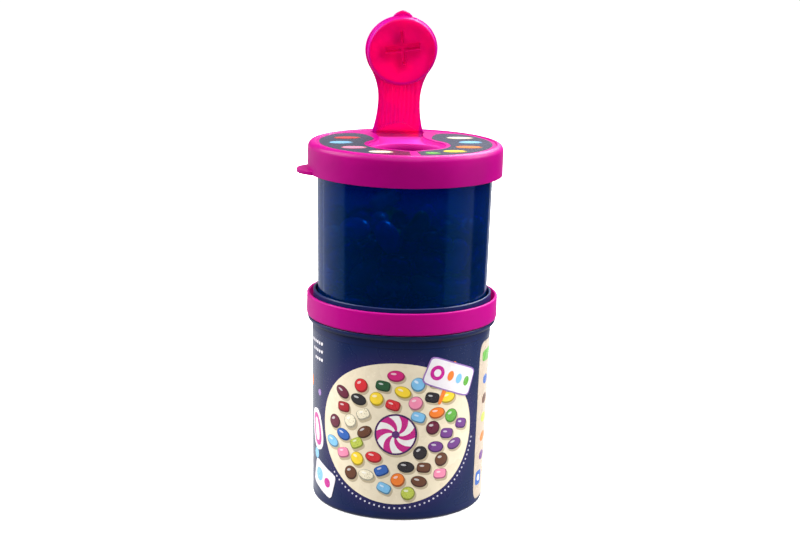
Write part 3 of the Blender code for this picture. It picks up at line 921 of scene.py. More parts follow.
def bean_finish():
    """Polished sugar shells: the colour comes with the mesh, its alpha says how speckled it is."""
    finish = Finish("sugar_shell")
    shell = finish.add("ShaderNodeVertexColor", {"layer_name": "tint"})
    speckled = shell.of("Alpha")
    cells = finish.add("ShaderNodeTexVoronoi", None, {"Vector": finish.place, "Scale": 620.0})
    deep = finish.times(shell, (0.30, 0.22, 0.25))
    cloud = finish.noise(260.0, 3.0)
    colour = finish.blend((1 - cells.rise(0.18, 0.42)) * speckled, shell, deep)
    colour = finish.blend(cloud.rise(0.55, 0.9) * 0.35, colour, (0.9, 0.85, 0.8))
    finish.surface(Base_Color=colour, Roughness=0.22 + cloud * 0.16,
                   Coat_Weight=0.6, Coat_Roughness=0.12,
                   Normal=finish.bump(finish.noise(380.0, 2.0), 0.00012, 0.3))
    return finish.material


def ink_finish():
    """Gloss printing ink: its colour comes with the mesh, its alpha says how speckled it is."""
    finish = Finish("gloss_ink")
    ink = finish.add("ShaderNodeVertexColor", {"layer_name": "tint"})
    speckles = finish.noise(2400.0, 1.0).rise(0.56, 0.66) * ink.of("Alpha")
    deep = finish.times(ink, (0.45, 0.40, 0.30))
    mottle = finish.noise(300.0, 3.0)
    pale = finish.times(ink, (0.90, 0.88, 0.84))
    colour = finish.blend(speckles, ink, deep)
    colour = finish.blend(mottle.rise(0.35, 0.75) * 0.5, colour, pale)
    finish.surface(Base_Color=colour, Roughness=finish.roughness(0.22, 0.32),
                   Normal=finish.bump(mottle, 0.00003, 0.2))
    return finish.material


class Print:
    """Flat printed shapes laid on a surface, each with its own colour and level."""

    def __init__(self, place):
        self.place = place
        self.points = []
        self.faces = []
        self.tints = []

    def grid(self, rows, colour, level, speckle=0.0, closed=False):
        """Quads between rows of (u, v) points; the last row's edge is sunk into the surface."""
        lifts = [level * INK_STEP] * len(rows) + [-INK_STEP]
        rows = rows + [rows[-1]]
        start = len(self.points)
        width = len(rows[0])
        for row, lift in zip(rows, lifts):
            self.points += [self.place(u, v, lift) for u, v in row]
            self.tints += [(*colour, speckle)] * width
        for i in range(len(rows) - 1):
            for j in range(width if closed else width - 1):
                k = (j + 1) % width
                first = start + i * width
                second = first + width
                self.faces.append((first + j, first + k, second + k, second + j))

    def blob(self, u, v, half_u, half_v, turn, colour, level, speckle=0.0, power=2.0):
        """An oval, or with a higher power a rounded rectangle."""
        rings = max(2, math.ceil(max(half_u, half_v) / PRINT_STEP))
        around = max(28, math.ceil(math.tau * max(half_u, half_v) / PRINT_STEP))
        rows = []
        for i in range(rings + 1):
            share = max(i / rings, 0.02)
            row = []
            for j in range(around):
                angle = math.tau * j / around
                cosine, sine = math.cos(angle), math.sin(angle)
                reach = (abs(cosine) ** power + abs(sine) ** power) ** (-1 / power)
                across = half_u * share * reach * cosine
                up = half_v * share * reach * sine
                row.append((u + across * math.cos(turn) - up * math.sin(turn),
                            v + across * math.sin(turn) + up * math.cos(turn)))
            rows.append(row)
        start = len(self.points)
        self.grid(rows, colour, level, speckle, closed=True)
        self.faces.append(tuple(range(start, start + around)))

    def pinwheel(self, u, v, radius, sectors, twist, colours, level):
        """A round sweet with curved stripes."""
        steps = 8
        wide = 5
        for i in range(sectors):
            rows = []
            for j in range(steps + 1):
                share = max(j / steps, 0.03)
                row = []
                for k in range(wide + 1):
                    angle = math.tau * (i + k / wide) / sectors + twist * share
                    row.append((u + radius * share * math.cos(angle),
                                v + radius * share * math.sin(angle)))
                rows.append(row)
            self.grid(rows, colours[i % len(colours)], level)

    def trims(self, rows):
        """A blob for each row of a list of trims."""
        for u, v, half_u, half_v, turn_deg, power, ink, level in rows:
            self.blob(u, v, half_u, half_v, math.radians(turn_deg), INKS[ink], level, power=power)

    def piece(self, name, material, slot, body="jar"):
        """The print so far as one piece, which rides on a body."""
        mesh = tinted_mesh(name, self.points, self.faces, self.tints)
        obj = smooth_object(name, mesh, material)
        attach(obj, body)


def on_cup(sizes, turn):
    """Places print on the lower cup by arc length and height, out from a turned middle line."""
    def place(u, v, lift):
        radius = wall_radius(sizes, v) + lift
        angle = u / LABEL_R + turn
        return radius * math.sin(angle), -radius * math.cos(angle), v
    return place


def on_lid(u, v, lift):
    """Places print on the lid's flat top."""
    return u, v, LID_TOP + lift


def print_sweet(sheet, u, v, size, kind, rng):
    """One printed sweet: its shadow, a dark edge, the body and a highlight."""
    name = rng.choice(sorted(SWEET_COLOURS))
    colour = SWEET_COLOURS[name]
    speckle = 1.0 if name in SPECKLED else 0.0
    turn = rng.uniform(-SWEET_LEAN, SWEET_LEAN)
    wide, high, power = SWEET_KINDS[kind]
    half_u, half_v = size * wide, size * high
    drop = size * SWEET_SHADOW
    sheet.blob(u + drop, v - drop * SWEET_SHADOW_FALL, half_u * SWEET_SHADOW_GROW,
               half_v * SWEET_SHADOW_GROW, turn, INKS["shadow"], 2, power=power)
    sheet.blob(u, v, half_u, half_v, turn, shade(colour, SWEET_EDGE_SHADE), 3, speckle, power)
    sheet.blob(u - drop * SWEET_BODY_SHIFT[0], v + drop * SWEET_BODY_SHIFT[1],
               half_u * SWEET_BODY[0], half_v * SWEET_BODY[1], turn, colour, 4, speckle, power)
    halfway_to_white = tuple(c * 0.5 + 0.5 for c in colour)
    sheet.blob(u - half_u * SWEET_SHINE_SHIFT[0], v + half_v * SWEET_SHINE_SHIFT[1],
               half_u * SWEET_SHINE[0], half_v * SWEET_SHINE[1], turn, halfway_to_white, 5)


def print_disc(sizes, colours, rng, middle_u, half_u, turn, count):
    """A cream disc with sweets spread over it as seeds lie in a flower's head."""
    sheet = Print(on_cup(sizes, turn))
    sheet.blob(middle_u, DISC_V, half_u, DISC_HALF_V, 0.0, colours.disc, 1)
    for i in range(count):
        share = math.sqrt((i + 0.5) / count)
        angle = GOLDEN_ANGLE * i + FIRST_SWEET_ANGLE
        u = middle_u + (half_u - SWEET_MARGIN_U) * share * math.cos(angle)
        v = DISC_V + (DISC_HALF_V - SWEET_MARGIN_V) * share * math.sin(angle)
        if math.hypot(u - middle_u, v - DISC_V) > CENTRE_CLEAR_R:
            print_sweet(sheet, u, v, SWEET_HALF, i % len(SWEET_KINDS), rng)
    print_centre(sheet, middle_u, CENTRE_R)
    return sheet


def print_centre(sheet, middle_u, radius):
    """A striped sweet in the middle of the disc, on a plain dark ring."""
    shadow, ring, hub = (radius * share for share in (CENTRE_SHADOW_GROW, CENTRE_RING_GROW, CENTRE_HUB))
    sheet.blob(middle_u + CENTRE_SHADOW[0], DISC_V + CENTRE_SHADOW[1], shadow, shadow, 0.0,
               INKS["shadow"], 2)
    sheet.blob(middle_u, DISC_V, ring, ring, 0.0, INKS["ring_violet"], 3)
    sheet.pinwheel(middle_u, DISC_V, radius, PINWHEEL_SECTORS, PINWHEEL_TWIST,
                   (INKS["stripe_magenta"], INKS["stripe_white"]), 4)
    sheet.blob(middle_u, DISC_V, hub, hub, 0.0, INKS["hub_violet"], 5)


def print_front(sizes, colours, rng):
    """The front of the label: disc, card on a stick, and the trims left and right of them."""
    sheet = print_disc(sizes, colours, rng, DISC_U, DISC_HALF_U, LABEL_TURN, sizes.sweet_count)
    sheet.trims(CARD_ON_STICK)
    for i in range(DOT_COUNT):
        angle = math.radians(DOT_START + DOT_SWEEP * i / DOT_COUNT)
        sheet.blob(DISC_U + (DISC_HALF_U + DOT_OUT_U) * math.cos(angle),
                   DISC_V + (DISC_HALF_V + DOT_OUT_V) * math.sin(angle),
                   DOT_R, DOT_R, 0.0, INKS["pale_lilac"], 2)
    sheet.trims(LEFT_TRIMS)
    for i in range(ROW_COUNT):
        for j in range(ROW_LENGTH - i):
            sheet.blob(ROW_U - ROW_PITCH_U * j, ROW_V - ROW_PITCH_V * i, ROW_DOT_R, ROW_DOT_R, 0.0,
                       INKS["card_white"], 2)
    return sheet


def print_side(sizes, colours):
    """The plain cream panel at the right, with a green band and a blue square."""
    sheet = Print(on_cup(sizes, LABEL_TURN + PANEL_TURN))
    sheet.blob(*PANEL_GROUND, 0.0, colours.panel, 1, power=PANEL_SQUARENESS)
    sheet.trims(PANEL_TRIMS)
    names = sorted(SWEET_COLOURS)
    half = PANEL_OVAL_HALF
    for i in range(PANEL_ROWS):
        for j in range(PANEL_COLUMNS):
            # Steps of 3 and 5 keep like colours apart.
            name = names[(i * 3 + j * 5) % len(names)]
            sheet.blob(PANEL_U + PANEL_PITCH_U * j, PANEL_V - PANEL_PITCH_V * i, half,
                       half * PANEL_OVAL_SQUAT, PANEL_OVAL_LEAN * (i % 2), SWEET_COLOURS[name], 2)
    return sheet


def recess_reach(sizes, grow, angle):
    """Distance from the axis to the recess outline, grown, in a direction."""
    points = recess_outline(sizes)(grow)
    bearings = np.array([math.atan2(y, x) for x, y in points])
    reaches = np.array([math.hypot(x, y) for x, y in points])
    order = np.argsort(bearings)
    return float(np.interp(angle, bearings[order], reaches[order], period=math.tau))


def print_lid(sizes, colours, rng):
    """The horseshoe label on the lid, open at the front and round at the hinge, with plain ovals."""
    sheet = Print(on_lid)
    front = math.radians(-90.0)
    steps, rounded = LID_LABEL_STEPS, LID_LABEL_ROUND_STEPS
    for side in (-1, 1):
        inner_row, outer_row = [], []
        for i in range(steps + 1):
            angle = front + side * (LID_LABEL_OPEN + (LID_LABEL_SPAN - LID_LABEL_OPEN) * i / steps)
            inner = recess_reach(sizes, LID_LABEL_INSET, angle)
            past = max(0.0, (i - steps + rounded) / rounded)
            keep = max(math.sqrt(1 - past ** 2), 0.02)
            middle, half = (inner + LID_LABEL_R) / 2, (LID_LABEL_R - inner) / 2 * keep
            for row, reach in ((inner_row, middle - half), (outer_row, middle + half)):
                row.append((reach * math.cos(angle), reach * math.sin(angle)))
        rows = []
        for j in range(LID_LABEL_ROWS + 1):
            share = j / LID_LABEL_ROWS
            rows.append([(a[0] + (b[0] - a[0]) * share, a[1] + (b[1] - a[1]) * share)
                         for a, b in zip(inner_row, outer_row)])
        sheet.grid(rows, colours.lid_label, 1)
    for u, v, half_u, half_v, name in LID_OVALS:
        colour = SWEET_COLOURS[name]
        turn = rng.uniform(-LID_OVAL_LEAN, LID_OVAL_LEAN)
        sheet.blob(u, v, half_u, half_v, turn, shade(colour, LID_OVAL_EDGE_SHADE), 2)
        sheet.blob(u + LID_OVAL_SHIFT[0], v + LID_OVAL_SHIFT[1], half_u * LID_OVAL_BODY[0],
                   half_v * LID_OVAL_BODY[1], turn, shade(colour, LID_OVAL_SHADE), 3)
    return sheet


class PieceOperator:
    """What the operators share: undo, the sizes and colours, and each finish made only once."""

    bl_options = {"REGISTER", "UNDO"}

    def execute(self, context):
        self.build(context.scene.dispenser_sizes, context.scene.dispenser_colours)
        return {"FINISHED"}

    def material(self, name, make):
        """The material of this name, made now if no operator has made it yet."""
        return bpy.data.materials.get(name) or make()


class DISPENSER_OT_lower_cup(PieceOperator, bpy.types.Operator):
    """Turn the lower cup with its flange, rim and seat"""

    bl_idname = "dispenser.lower_cup"
    bl_label = "Lower cup"

    def build(self, sizes, colours):
        base, top = sizes.lower_base_radius, sizes.lower_top_radius
        flange = sizes.flange_radius
        rim_half = (RIM_OUTER_R - RIM_INNER_R) / 2
        profile = arc(base - LOWER_CORNER, LOWER_CORNER, LOWER_CORNER, -90, 0, 10)
        profile += [(top, FLANGE_Z)]
        profile += arc(top, FLANGE_TOP - 2 * EDGE, flange - top, -75, 0, 8)
        profile += arc(flange - EDGE, FLANGE_TOP - EDGE, EDGE, 0, 90, 4)
        profile += [(RIM_OUTER_R + EDGE, FLANGE_TOP)]
        profile += arc(RIM_INNER_R + rim_half, RIM_TOP - rim_half, rim_half, 0, 180, 12)
        profile += [(RIM_INNER_R, SEAT_Z)]
        bm = bmesh.new()
        low, high = sweep(bm, circle(), profile)
        fill(bm, low)
        fill(bm, high)
        material = self.material("satin_navy", lambda: navy_finish(colours))
        add_piece("lower_cup_shell", bm, material, "jar", "navy_plastic", "lower_cup")


class DISPENSER_OT_collar_band(PieceOperator, bpy.types.Operator):
    """Turn the collar band that snaps on the lower cup"""

    bl_idname = "dispenser.collar_band"
    bl_label = "Collar band"

    def build(self, sizes, colours):
        bottom = FLANGE_TOP + GAP
        outer = sizes.band_radius
        inner = outer - BAND_WALL
        web = RIM_OUTER_R + GAP
        low_round = 2 * BAND_ROUND
        profile = [(web, bottom)]
        profile += arc(outer - low_round, bottom + low_round, low_round, -90, 0, 8)
        profile += arc(outer - BAND_ROUND, BAND_TOP - BAND_ROUND, BAND_ROUND, 0, 90, 6)
        profile += arc(inner + EDGE, BAND_TOP - EDGE, EDGE, 90, 180, 4)
        profile += [(inner, BAND_WEB_TOP), (web, BAND_WEB_TOP)]
        bm = bmesh.new()
        sweep(bm, circle(), profile, closed=True)
        material = self.material("satin_magenta", lambda: magenta_finish(colours))
        add_piece("collar_band_shell", bm, material, "jar", "magenta_plastic", "collar_band")


class DISPENSER_OT_upper_cup(PieceOperator, bpy.types.Operator):
    """Turn the translucent upper cup"""

    bl_idname = "dispenser.upper_cup"
    bl_label = "Upper cup"

    def build(self, sizes, colours):
        foot, neck = sizes.cup_foot_radius, sizes.cup_neck_radius
        throat = neck - sizes.cup_wall
        mouth = LID_TOP - LID_PLATE - GAP
        profile = arc(foot - CUP_CORNER, CUP_FOOT_Z + CUP_CORNER, CUP_CORNER, -90, 0, 10)
        profile += [(neck, CUP_NECK_Z), (neck, CUP_NECK_Z + CUP_NECK_RUN)]
        profile += arc(CUP_BEAD_R - CUP_BEAD_HALF, CUP_BEAD_Z, CUP_BEAD_HALF, -60, 60, 8)
        profile += [(neck, CUP_BEAD_Z + CUP_BEAD_RUN)]
        profile += arc(neck - EDGE, mouth - EDGE, EDGE, 0, 90, 4)
        profile += arc(throat + EDGE, mouth - EDGE, EDGE, 90, 180, 4)
        profile += [(throat, CUP_NECK_Z)]
        inner_corner = CUP_CORNER - sizes.cup_wall
        profile += arc(foot - CUP_CORNER, CUP_FOOT_Z + CUP_FLOOR + inner_corner, inner_corner, 0, -90, 6)
        bm = bmesh.new()
        low, high = sweep(bm, circle(), profile)
        fill(bm, low)
        fill(bm, high)
        material = self.material("clear_deep_blue", lambda: clear_blue_finish(colours))
        add_piece("upper_cup_shell", bm, material, "jar", "blue_clear_plastic", "upper_cup")


def lift_tab_outline(sizes):
    """A crescent at -X: a round outer edge, closed by an arc inside the skirt's wall."""
    def outline(grow):
        root_r = sizes.lid_radius - LID_WALL / 2
        half = LIFT_TAB_HALF_WIDTH + grow
        reach = LIFT_TAB_REACH + grow
        skirt_x = math.sqrt(sizes.lid_radius ** 2 - half ** 2)
        sagitta = sizes.lid_radius + reach - skirt_x
        edge_r = (sagitta ** 2 + half ** 2) / (2 * sagitta)
        centre_x = sizes.lid_radius + reach - edge_r
        swing = math.asin(half / edge_r)
        if skirt_x < centre_x:
            swing = math.pi - swing
        steps = LIFT_TAB_STEPS
        angles = [-swing + 2 * swing * i / steps for i in range(steps + 1)]
        points = [(-centre_x - edge_r * math.cos(a), edge_r * math.sin(a)) for a in angles]
        root_swing = math.asin(half / root_r)
        angles = [root_swing - 2 * root_swing * i / steps for i in range(steps + 1)]
        points += [(-root_r * math.cos(a), root_r * math.sin(a)) for a in angles]
        return points
    return outline


class DISPENSER_OT_lid(PieceOperator, bpy.types.Operator):
    """Model the snap lid: skirt, shoulder, recess, pour hole, collar and lift tab"""

    bl_idname = "dispenser.lid"
    bl_label = "Lid"

    def build(self, sizes, colours):
        outer = sizes.lid_radius
        inner = outer - LID_WALL
        under = LID_TOP - LID_PLATE
        bead_top = LID_TOP + LID_BEAD_HEIGHT
        hole = sizes.plug_radius + HOLE_CLEARANCE
        collar = hole + COLLAR_WALL
        recess = recess_outline(sizes)
        wall = RECESS_GROW + POCKET_WALL
        bm = bmesh.new()

        skirt = arc(LID_PLANE_R, LID_TOP + EDGE, EDGE, -90, -30, 4)
        skirt += arc(LID_BEAD_R - EDGE, bead_top - EDGE, EDGE, 140, 90, 4)
        skirt += arc(outer - LID_SHOULDER, bead_top - LID_SHOULDER, LID_SHOULDER, 90, 0, 16)
        skirt += arc(outer - EDGE, LID_BOTTOM + EDGE, EDGE, 0, -90, 4)
        skirt += arc(inner + EDGE, LID_BOTTOM + EDGE, EDGE, -90, -180, 4)
        skirt += arc(inner - EDGE, under - EDGE, EDGE, 0, 90, 4)
        plate_edge, ceiling_edge = sweep(bm, circle(), skirt)

        pocket_top, pocket_foot = sweep(bm, recess, [(wall, under), (wall, POCKET_UNDER)])

        throat = [(collar, POCKET_UNDER)]
        throat += arc(collar - EDGE, COLLAR_BOTTOM + EDGE, EDGE, 0, -90, 4)
        throat += arc(hole + EDGE, COLLAR_BOTTOM + EDGE, EDGE, -90, -180, 4)
        throat += arc(hole + EDGE, RECESS_FLOOR - EDGE, EDGE, 180, 90, 4)
        collar_root, hole_edge = sweep(bm, circle(sizes.hinge_y - sizes.disc_arm), throat)

        sides = arc(RECESS_GROW - EDGE, RECESS_FLOOR + EDGE, EDGE, -90, 0, 4)
        sides += arc(RECESS_GROW + EDGE, LID_TOP - EDGE, EDGE, 180, 90, 5)
        floor_edge, recess_edge = sweep(bm, recess, sides)

        fill(bm, plate_edge, recess_edge)
        fill(bm, floor_edge, hole_edge)
        fill(bm, pocket_foot, collar_root)
        fill(bm, ceiling_edge, pocket_top)

        lift = arc(-EDGE, LID_BOTTOM + EDGE, EDGE, -90, 0, 4)
        lift += arc(-EDGE, LID_BOTTOM + LIFT_TAB_THICK - EDGE, EDGE, 0, 90, 4)
        for ring in sweep(bm, lift_tab_outline(sizes), lift):
            fill(bm, ring)
        material = self.material("satin_magenta", lambda: magenta_finish(colours))
        add_piece("lid_shell", bm, material, "jar", "magenta_plastic", "lid")


def cross_outline(sizes):
    """The recessed cross, grown by a margin and turned a little."""
    def outline(grow):
        far = CROSS_LENGTH / 2 + grow
        wide = CROSS_WIDE / 2 + grow
        narrow = CROSS_NARROW / 2 + grow
        corners = ((far, -wide), (far, wide), (narrow, wide), (narrow, far),
                   (-narrow, far), (-narrow, wide), (-far, wide), (-far, -wide),
                   (-narrow, -wide), (-narrow, -far), (narrow, -far), (narrow, -wide))
        cosine, sine = math.cos(CROSS_TURN), math.sin(CROSS_TURN)
        middle = sizes.disc_arm + CROSS_RISE
        return [(x * cosine - y * sine, middle + x * sine + y * cosine) for x, y in corners]
    return outline


def add_rod(bm, sections, along, radius, proud, sides=8):
    """A low round rod lying on the tab's front, through (x, height, swell) sections."""
    rings = []
    for x, height, swell in sections:
        ring = []
        for k in range(sides):
            angle = math.tau * k / sides
            side = radius * math.cos(angle) * max(swell, ROD_LEAST_WIDTH)
            ring.append(bm.verts.new((x + along[1] * side, height - along[0] * side,
                                      TAB_THICK + proud * swell * math.sin(angle))))
        rings.append(ring)
    skin(bm, rings)


def add_ribs(bm, sizes):
    """Fine ribs up the strap's front, each a low round bar with sloping ends."""
    for i in range(RIB_COUNT):
        middle = (i - (RIB_COUNT - 1) / 2) * RIB_PITCH
        across = middle / sizes.strap_half_width
        low = ARCH_HEIGHT - ARCH_DROP * across ** 2
        high = sizes.disc_arm - math.sqrt((sizes.plug_radius + RIB_TO_PLUG) ** 2 - middle ** 2)
        heights = (low, low + RIB_SLOPE_LOW, high - RIB_SLOPE_HIGH, high)
        sections = [(middle, height, swell) for height, swell in zip(heights, RIB_SWELLS)]
        add_rod(bm, sections, (0.0, 1.0), RIB_WIDTH / 2, RIB_PROUD)


def add_arch_notches(bm):
    """Short slanting strokes along the arch, like the lay of a rope."""
    for i in range(ARCH_NOTCHES):
        share = 2 * i / (ARCH_NOTCHES - 1) - 1
        x, height = ARCH_HALF_WIDTH * share, ARCH_HEIGHT - ARCH_DROP * share ** 2
        lean = NOTCH_LEAN - share * NOTCH_FAN
        along = (math.sin(lean), math.cos(lean))
        sections = [(x + along[0] * NOTCH_LENGTH * reach, height + along[1] * NOTCH_LENGTH * reach, swell)
                    for reach, swell in NOTCH_SECTIONS]
        add_rod(bm, sections, along, NOTCH_RADIUS, NOTCH_RADIUS)


class DISPENSER_OT_flip_tab(PieceOperator, bpy.types.Operator):
    """Model the flip tab with its dished plug and cross, and the hinge film"""

    bl_idname = "dispenser.flip_tab"
    bl_label = "Flip tab"

    def build(self, sizes, colours):
        material = self.material("glowing_magenta", lambda: tab_finish(sizes, colours))
        face = TAB_THICK + PLUG_DEPTH
        dish_floor = face - PLUG_FACE
        boss_back = face - CROSS_DEPTH - CROSS_WALL
        slot_floor = face - CROSS_DEPTH
        plug, dish = sizes.plug_radius, sizes.plug_radius - DISH_WALL
        disc = circle(sizes.disc_arm)
        cross = cross_outline(sizes)
        bm = bmesh.new()

        def outline(grow):
            return tab_outline(sizes, TAB_FOOT_GAP, grow)

        rim = arc(-TAB_EDGE, TAB_EDGE, TAB_EDGE, -90, 0, 5)
        rim += arc(-TAB_EDGE, TAB_THICK - TAB_EDGE, TAB_EDGE, 0, 90, 5)
        back_edge, front_edge = sweep(bm, outline, rim)
        bowl = arc(dish + EDGE, EDGE, EDGE, -90, -180, 4)
        bowl += arc(dish - EDGE, dish_floor - EDGE, EDGE, 0, 90, 4)
        bowl_mouth, bowl_floor = sweep(bm, disc, bowl)
        boss = [(CROSS_WALL, dish_floor)]
        boss += arc(CROSS_WALL - EDGE, boss_back + EDGE, EDGE, 0, -90, 3)
        boss_root, boss_end = sweep(bm, cross, boss)
        stud = arc(plug + EDGE, TAB_THICK + EDGE, EDGE, -90, -180, 4)
        stud += arc(plug - PLUG_BEVEL, face - PLUG_BEVEL, PLUG_BEVEL, 0, 90, 8)
        stud_root, stud_face = sweep(bm, disc, stud)
        slot = arc(EDGE, face - EDGE, EDGE, 90, 180, 4)
        slot += [(0.0, slot_floor)]
        slot_mouth, slot_end = sweep(bm, cross, slot)
        fill(bm, back_edge, bowl_mouth)
        fill(bm, bowl_floor, boss_root)
        fill(bm, boss_end)
        fill(bm, front_edge, stud_root)
        fill(bm, stud_face, slot_mouth)
        fill(bm, slot_end)
        ribs, notches = bmesh.new(), bmesh.new()
        add_ribs(ribs, sizes)
        add_arch_notches(notches)
        bm = fused(bm, ribs, notches)

        on_hinge = (Matrix.Translation((0.0, sizes.hinge_y, HINGE_Z)) @
                    Matrix.Rotation(sizes.tab_lean, 4, "X") @ Matrix.Rotation(math.pi / 2, 4, "X"))
        bmesh.ops.transform(bm, matrix=on_hinge, verts=bm.verts)
        add_piece("flip_tab_shell", bm, material, "tab", "flip_tab_plastic", "flip_tab")
        self.add_hinge_film(sizes, material)
        self.add_hinge_web(sizes, material, on_hinge)

    def add_hinge_web(self, sizes, material, on_hinge):
        """The web in front: from the foot of the strap's face down to the recess floor."""
        half_width = tab_side(sizes, TAB_FOOT_GAP) - TAB_EDGE
        top = on_hinge @ Vector((0.0, TAB_FOOT_GAP + TAB_EDGE, TAB_THICK - WEB_INSET))
        low = RECESS_FLOOR + WEB_LIFT
        bm = bmesh.new()
        rings = []
        for i in range(BEND_STEPS + 1):
            share = i / BEND_STEPS
            swell = math.sin(math.pi * share)
            y = top.y + WEB_BELLY * swell - WEB_TOE * (1 - share) ** 3
            z = low + (top.z - low) * share
            half = half_width - WEB_PULL_IN * swell
            rings.append([bm.verts.new((x, y + depth, z)) for x, depth in
                          ((-half, 0.0), (half, 0.0), (half, WEB_THICK), (-half, WEB_THICK))])
        skin(bm, rings)
        obj = smooth_object("hinge_web", closed_mesh("hinge_web", bm), material)
        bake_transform(obj)

    def add_hinge_film(self, sizes, material):
        """The thin web that the tab folds on: from the lid's top up the back of the strap."""
        bend = FILM_BEND
        lean = sizes.tab_lean
        turn = math.pi / 2 - lean
        lines = [(FILM_REACH * (3 - i) / 3 + bend, 0.0) for i in range(3)]
        for i in range(BEND_STEPS + 1):
            angle = turn * i / BEND_STEPS
            lines.append((bend - bend * math.sin(angle), bend - bend * math.cos(angle)))
        last = lines[-1]
        for i in range(1, 5):
            along = FILM_REACH * i / 4
            lines.append((last[0] - along * math.sin(lean), last[1] + along * math.cos(lean)))
        bm = bmesh.new()
        rings = []
        for index, (y, z) in enumerate(lines):
            after = lines[min(index + 1, len(lines) - 1)]
            before = lines[max(index - 1, 0)]
            run, rise = after[0] - before[0], after[1] - before[1]
            length = math.hypot(run, rise)
            out = (rise / length * FILM_THICK, -run / length * FILM_THICK)
            taper = FILM_HALF_WIDTH - FILM_TAPER * abs(index - len(lines) / 2) / len(lines)
            corners = ((-taper, 0.0), (taper, 0.0), (taper, 1.0), (-taper, 1.0))
            rings.append([bm.verts.new((x, sizes.hinge_y + y + out[0] * share,
                                        HINGE_Z - FILM_SINK + z + out[1] * share))
                          for x, share in corners])
        skin(bm, rings)
        obj = smooth_object("hinge_film", closed_mesh("hinge_film", bm), material)
        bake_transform(obj)


def scattered_beans(sizes, rng, floor, wall, half):
    """End points of every bean before it falls, one above the other in the cup."""
    count = sizes.bean_count
    angle = rng.uniform(0, math.tau, count)
    reach = np.sqrt(rng.uniform(0, 1, count)) * (wall - half)
    start_height = np.sort(rng.uniform(0, 1, count)) * count * BEAN_START_PITCH
    centre = np.stack([reach * np.cos(angle), reach * np.sin(angle), floor + start_height], 1)
    heading = rng.normal(size=(count, 3)) * (1.0, 1.0, BEAN_START_TILT)
    heading /= np.sqrt((heading ** 2).sum(1))[:, None]
    return np.round(np.stack([centre - heading * half, centre + heading * half], 1), 7)


def push_apart(ends, first, second, ball):
    """Moves beans apart where two of their balls overlap."""
    total = 3 * len(ends)
    balls = np.stack([ends[:, 0], (ends[:, 0] + ends[:, 1]) / 2, ends[:, 1]], 1).reshape(-1, 3)
    x, y, z = (balls[first, axis] - balls[second, axis] for axis in range(3))
    gap = np.sqrt(x * x + y * y + z * z) + TINY
    near = gap < 2 * ball
    a, b = first[near], second[near]
    push = 0.5 * (2 * ball - gap[near]) / gap[near]
    touches = np.bincount(a, minlength=total) + np.bincount(b, minlength=total)
    shift = np.zeros_like(balls)
    for axis, part in enumerate((x, y, z)):
        amount = part[near] * push
        shift[:, axis] = np.bincount(a, amount, total) - np.bincount(b, amount, total)
    shift *= (PUSH_GAIN / np.maximum(touches, PUSH_GAIN))[:, None]
    shift = shift.reshape(-1, 3, 3)
    ends[:, 0] += shift[:, 0] + shift[:, 1] * 0.5
    ends[:, 1] += shift[:, 2] + shift[:, 1] * 0.5


def keep_length(ends, half):
    """Brings each bean's end points back to their distance."""
    stretch = ends[:, 1] - ends[:, 0]
    length = np.sqrt(stretch[:, 0] ** 2 + stretch[:, 1] ** 2 + stretch[:, 2] ** 2)[:, None]
    fix = stretch * (0.5 * (length - 2 * half) / length)
    ends[:, 0] += fix
    ends[:, 1] -= fix


def keep_inside(ends, floor, wall, slope):
    """Brings end points back over the cup's floor and inside its wall."""
    ends[:, :, 2] = np.maximum(ends[:, :, 2], floor)
    limit = wall + slope * (ends[:, :, 2] - CUP_FOOT_Z)
    out = np.sqrt(ends[:, :, 0] ** 2 + ends[:, :, 1] ** 2) + TINY
    squeeze = np.minimum(1.0, limit / out)
    ends[:, :, 0] *= squeeze
    ends[:, :, 1] *= squeeze


def settled_beans(sizes, rng):
    """End points of every bean after the beans have dropped into the cup.

    A bean is two points held a fixed distance apart, and touches the others, the wall and the
    floor with three balls along its line.
    """
    ball = (sizes.bean_width + sizes.bean_thickness) / 4
    edge = sizes.bean_width / 2 + BEAN_CLEARANCE
    half = sizes.bean_length / 2 - ball
    floor = CUP_FOOT_Z + CUP_FLOOR + edge
    wall = sizes.cup_foot_radius - sizes.cup_wall - edge
    slope = (sizes.cup_neck_radius - sizes.cup_foot_radius) / (CUP_NECK_Z - CUP_FOOT_Z)
    ends = scattered_beans(sizes, rng, floor, wall, half)

    owner = np.repeat(np.arange(sizes.bean_count), 3)
    first, second = np.triu_indices(len(owner), 1)
    apart = owner[first] != owner[second]
    first, second = first[apart], second[apart]
    previous = ends.copy()
    for step in range(FALL_STEPS + CALM_STEPS):
        falling = step < FALL_STEPS
        move = (ends - previous) * (KEPT_MOTION if falling else 0.0)
        previous = ends.copy()
        ends = ends + move
        if falling:
            ends[:, :, 2] -= FALL_PER_STEP
        for _ in range(PUSH_PASSES):
            push_apart(ends, first, second, ball)
            keep_length(ends, half)
            keep_inside(ends, floor, wall, slope)
    return ends


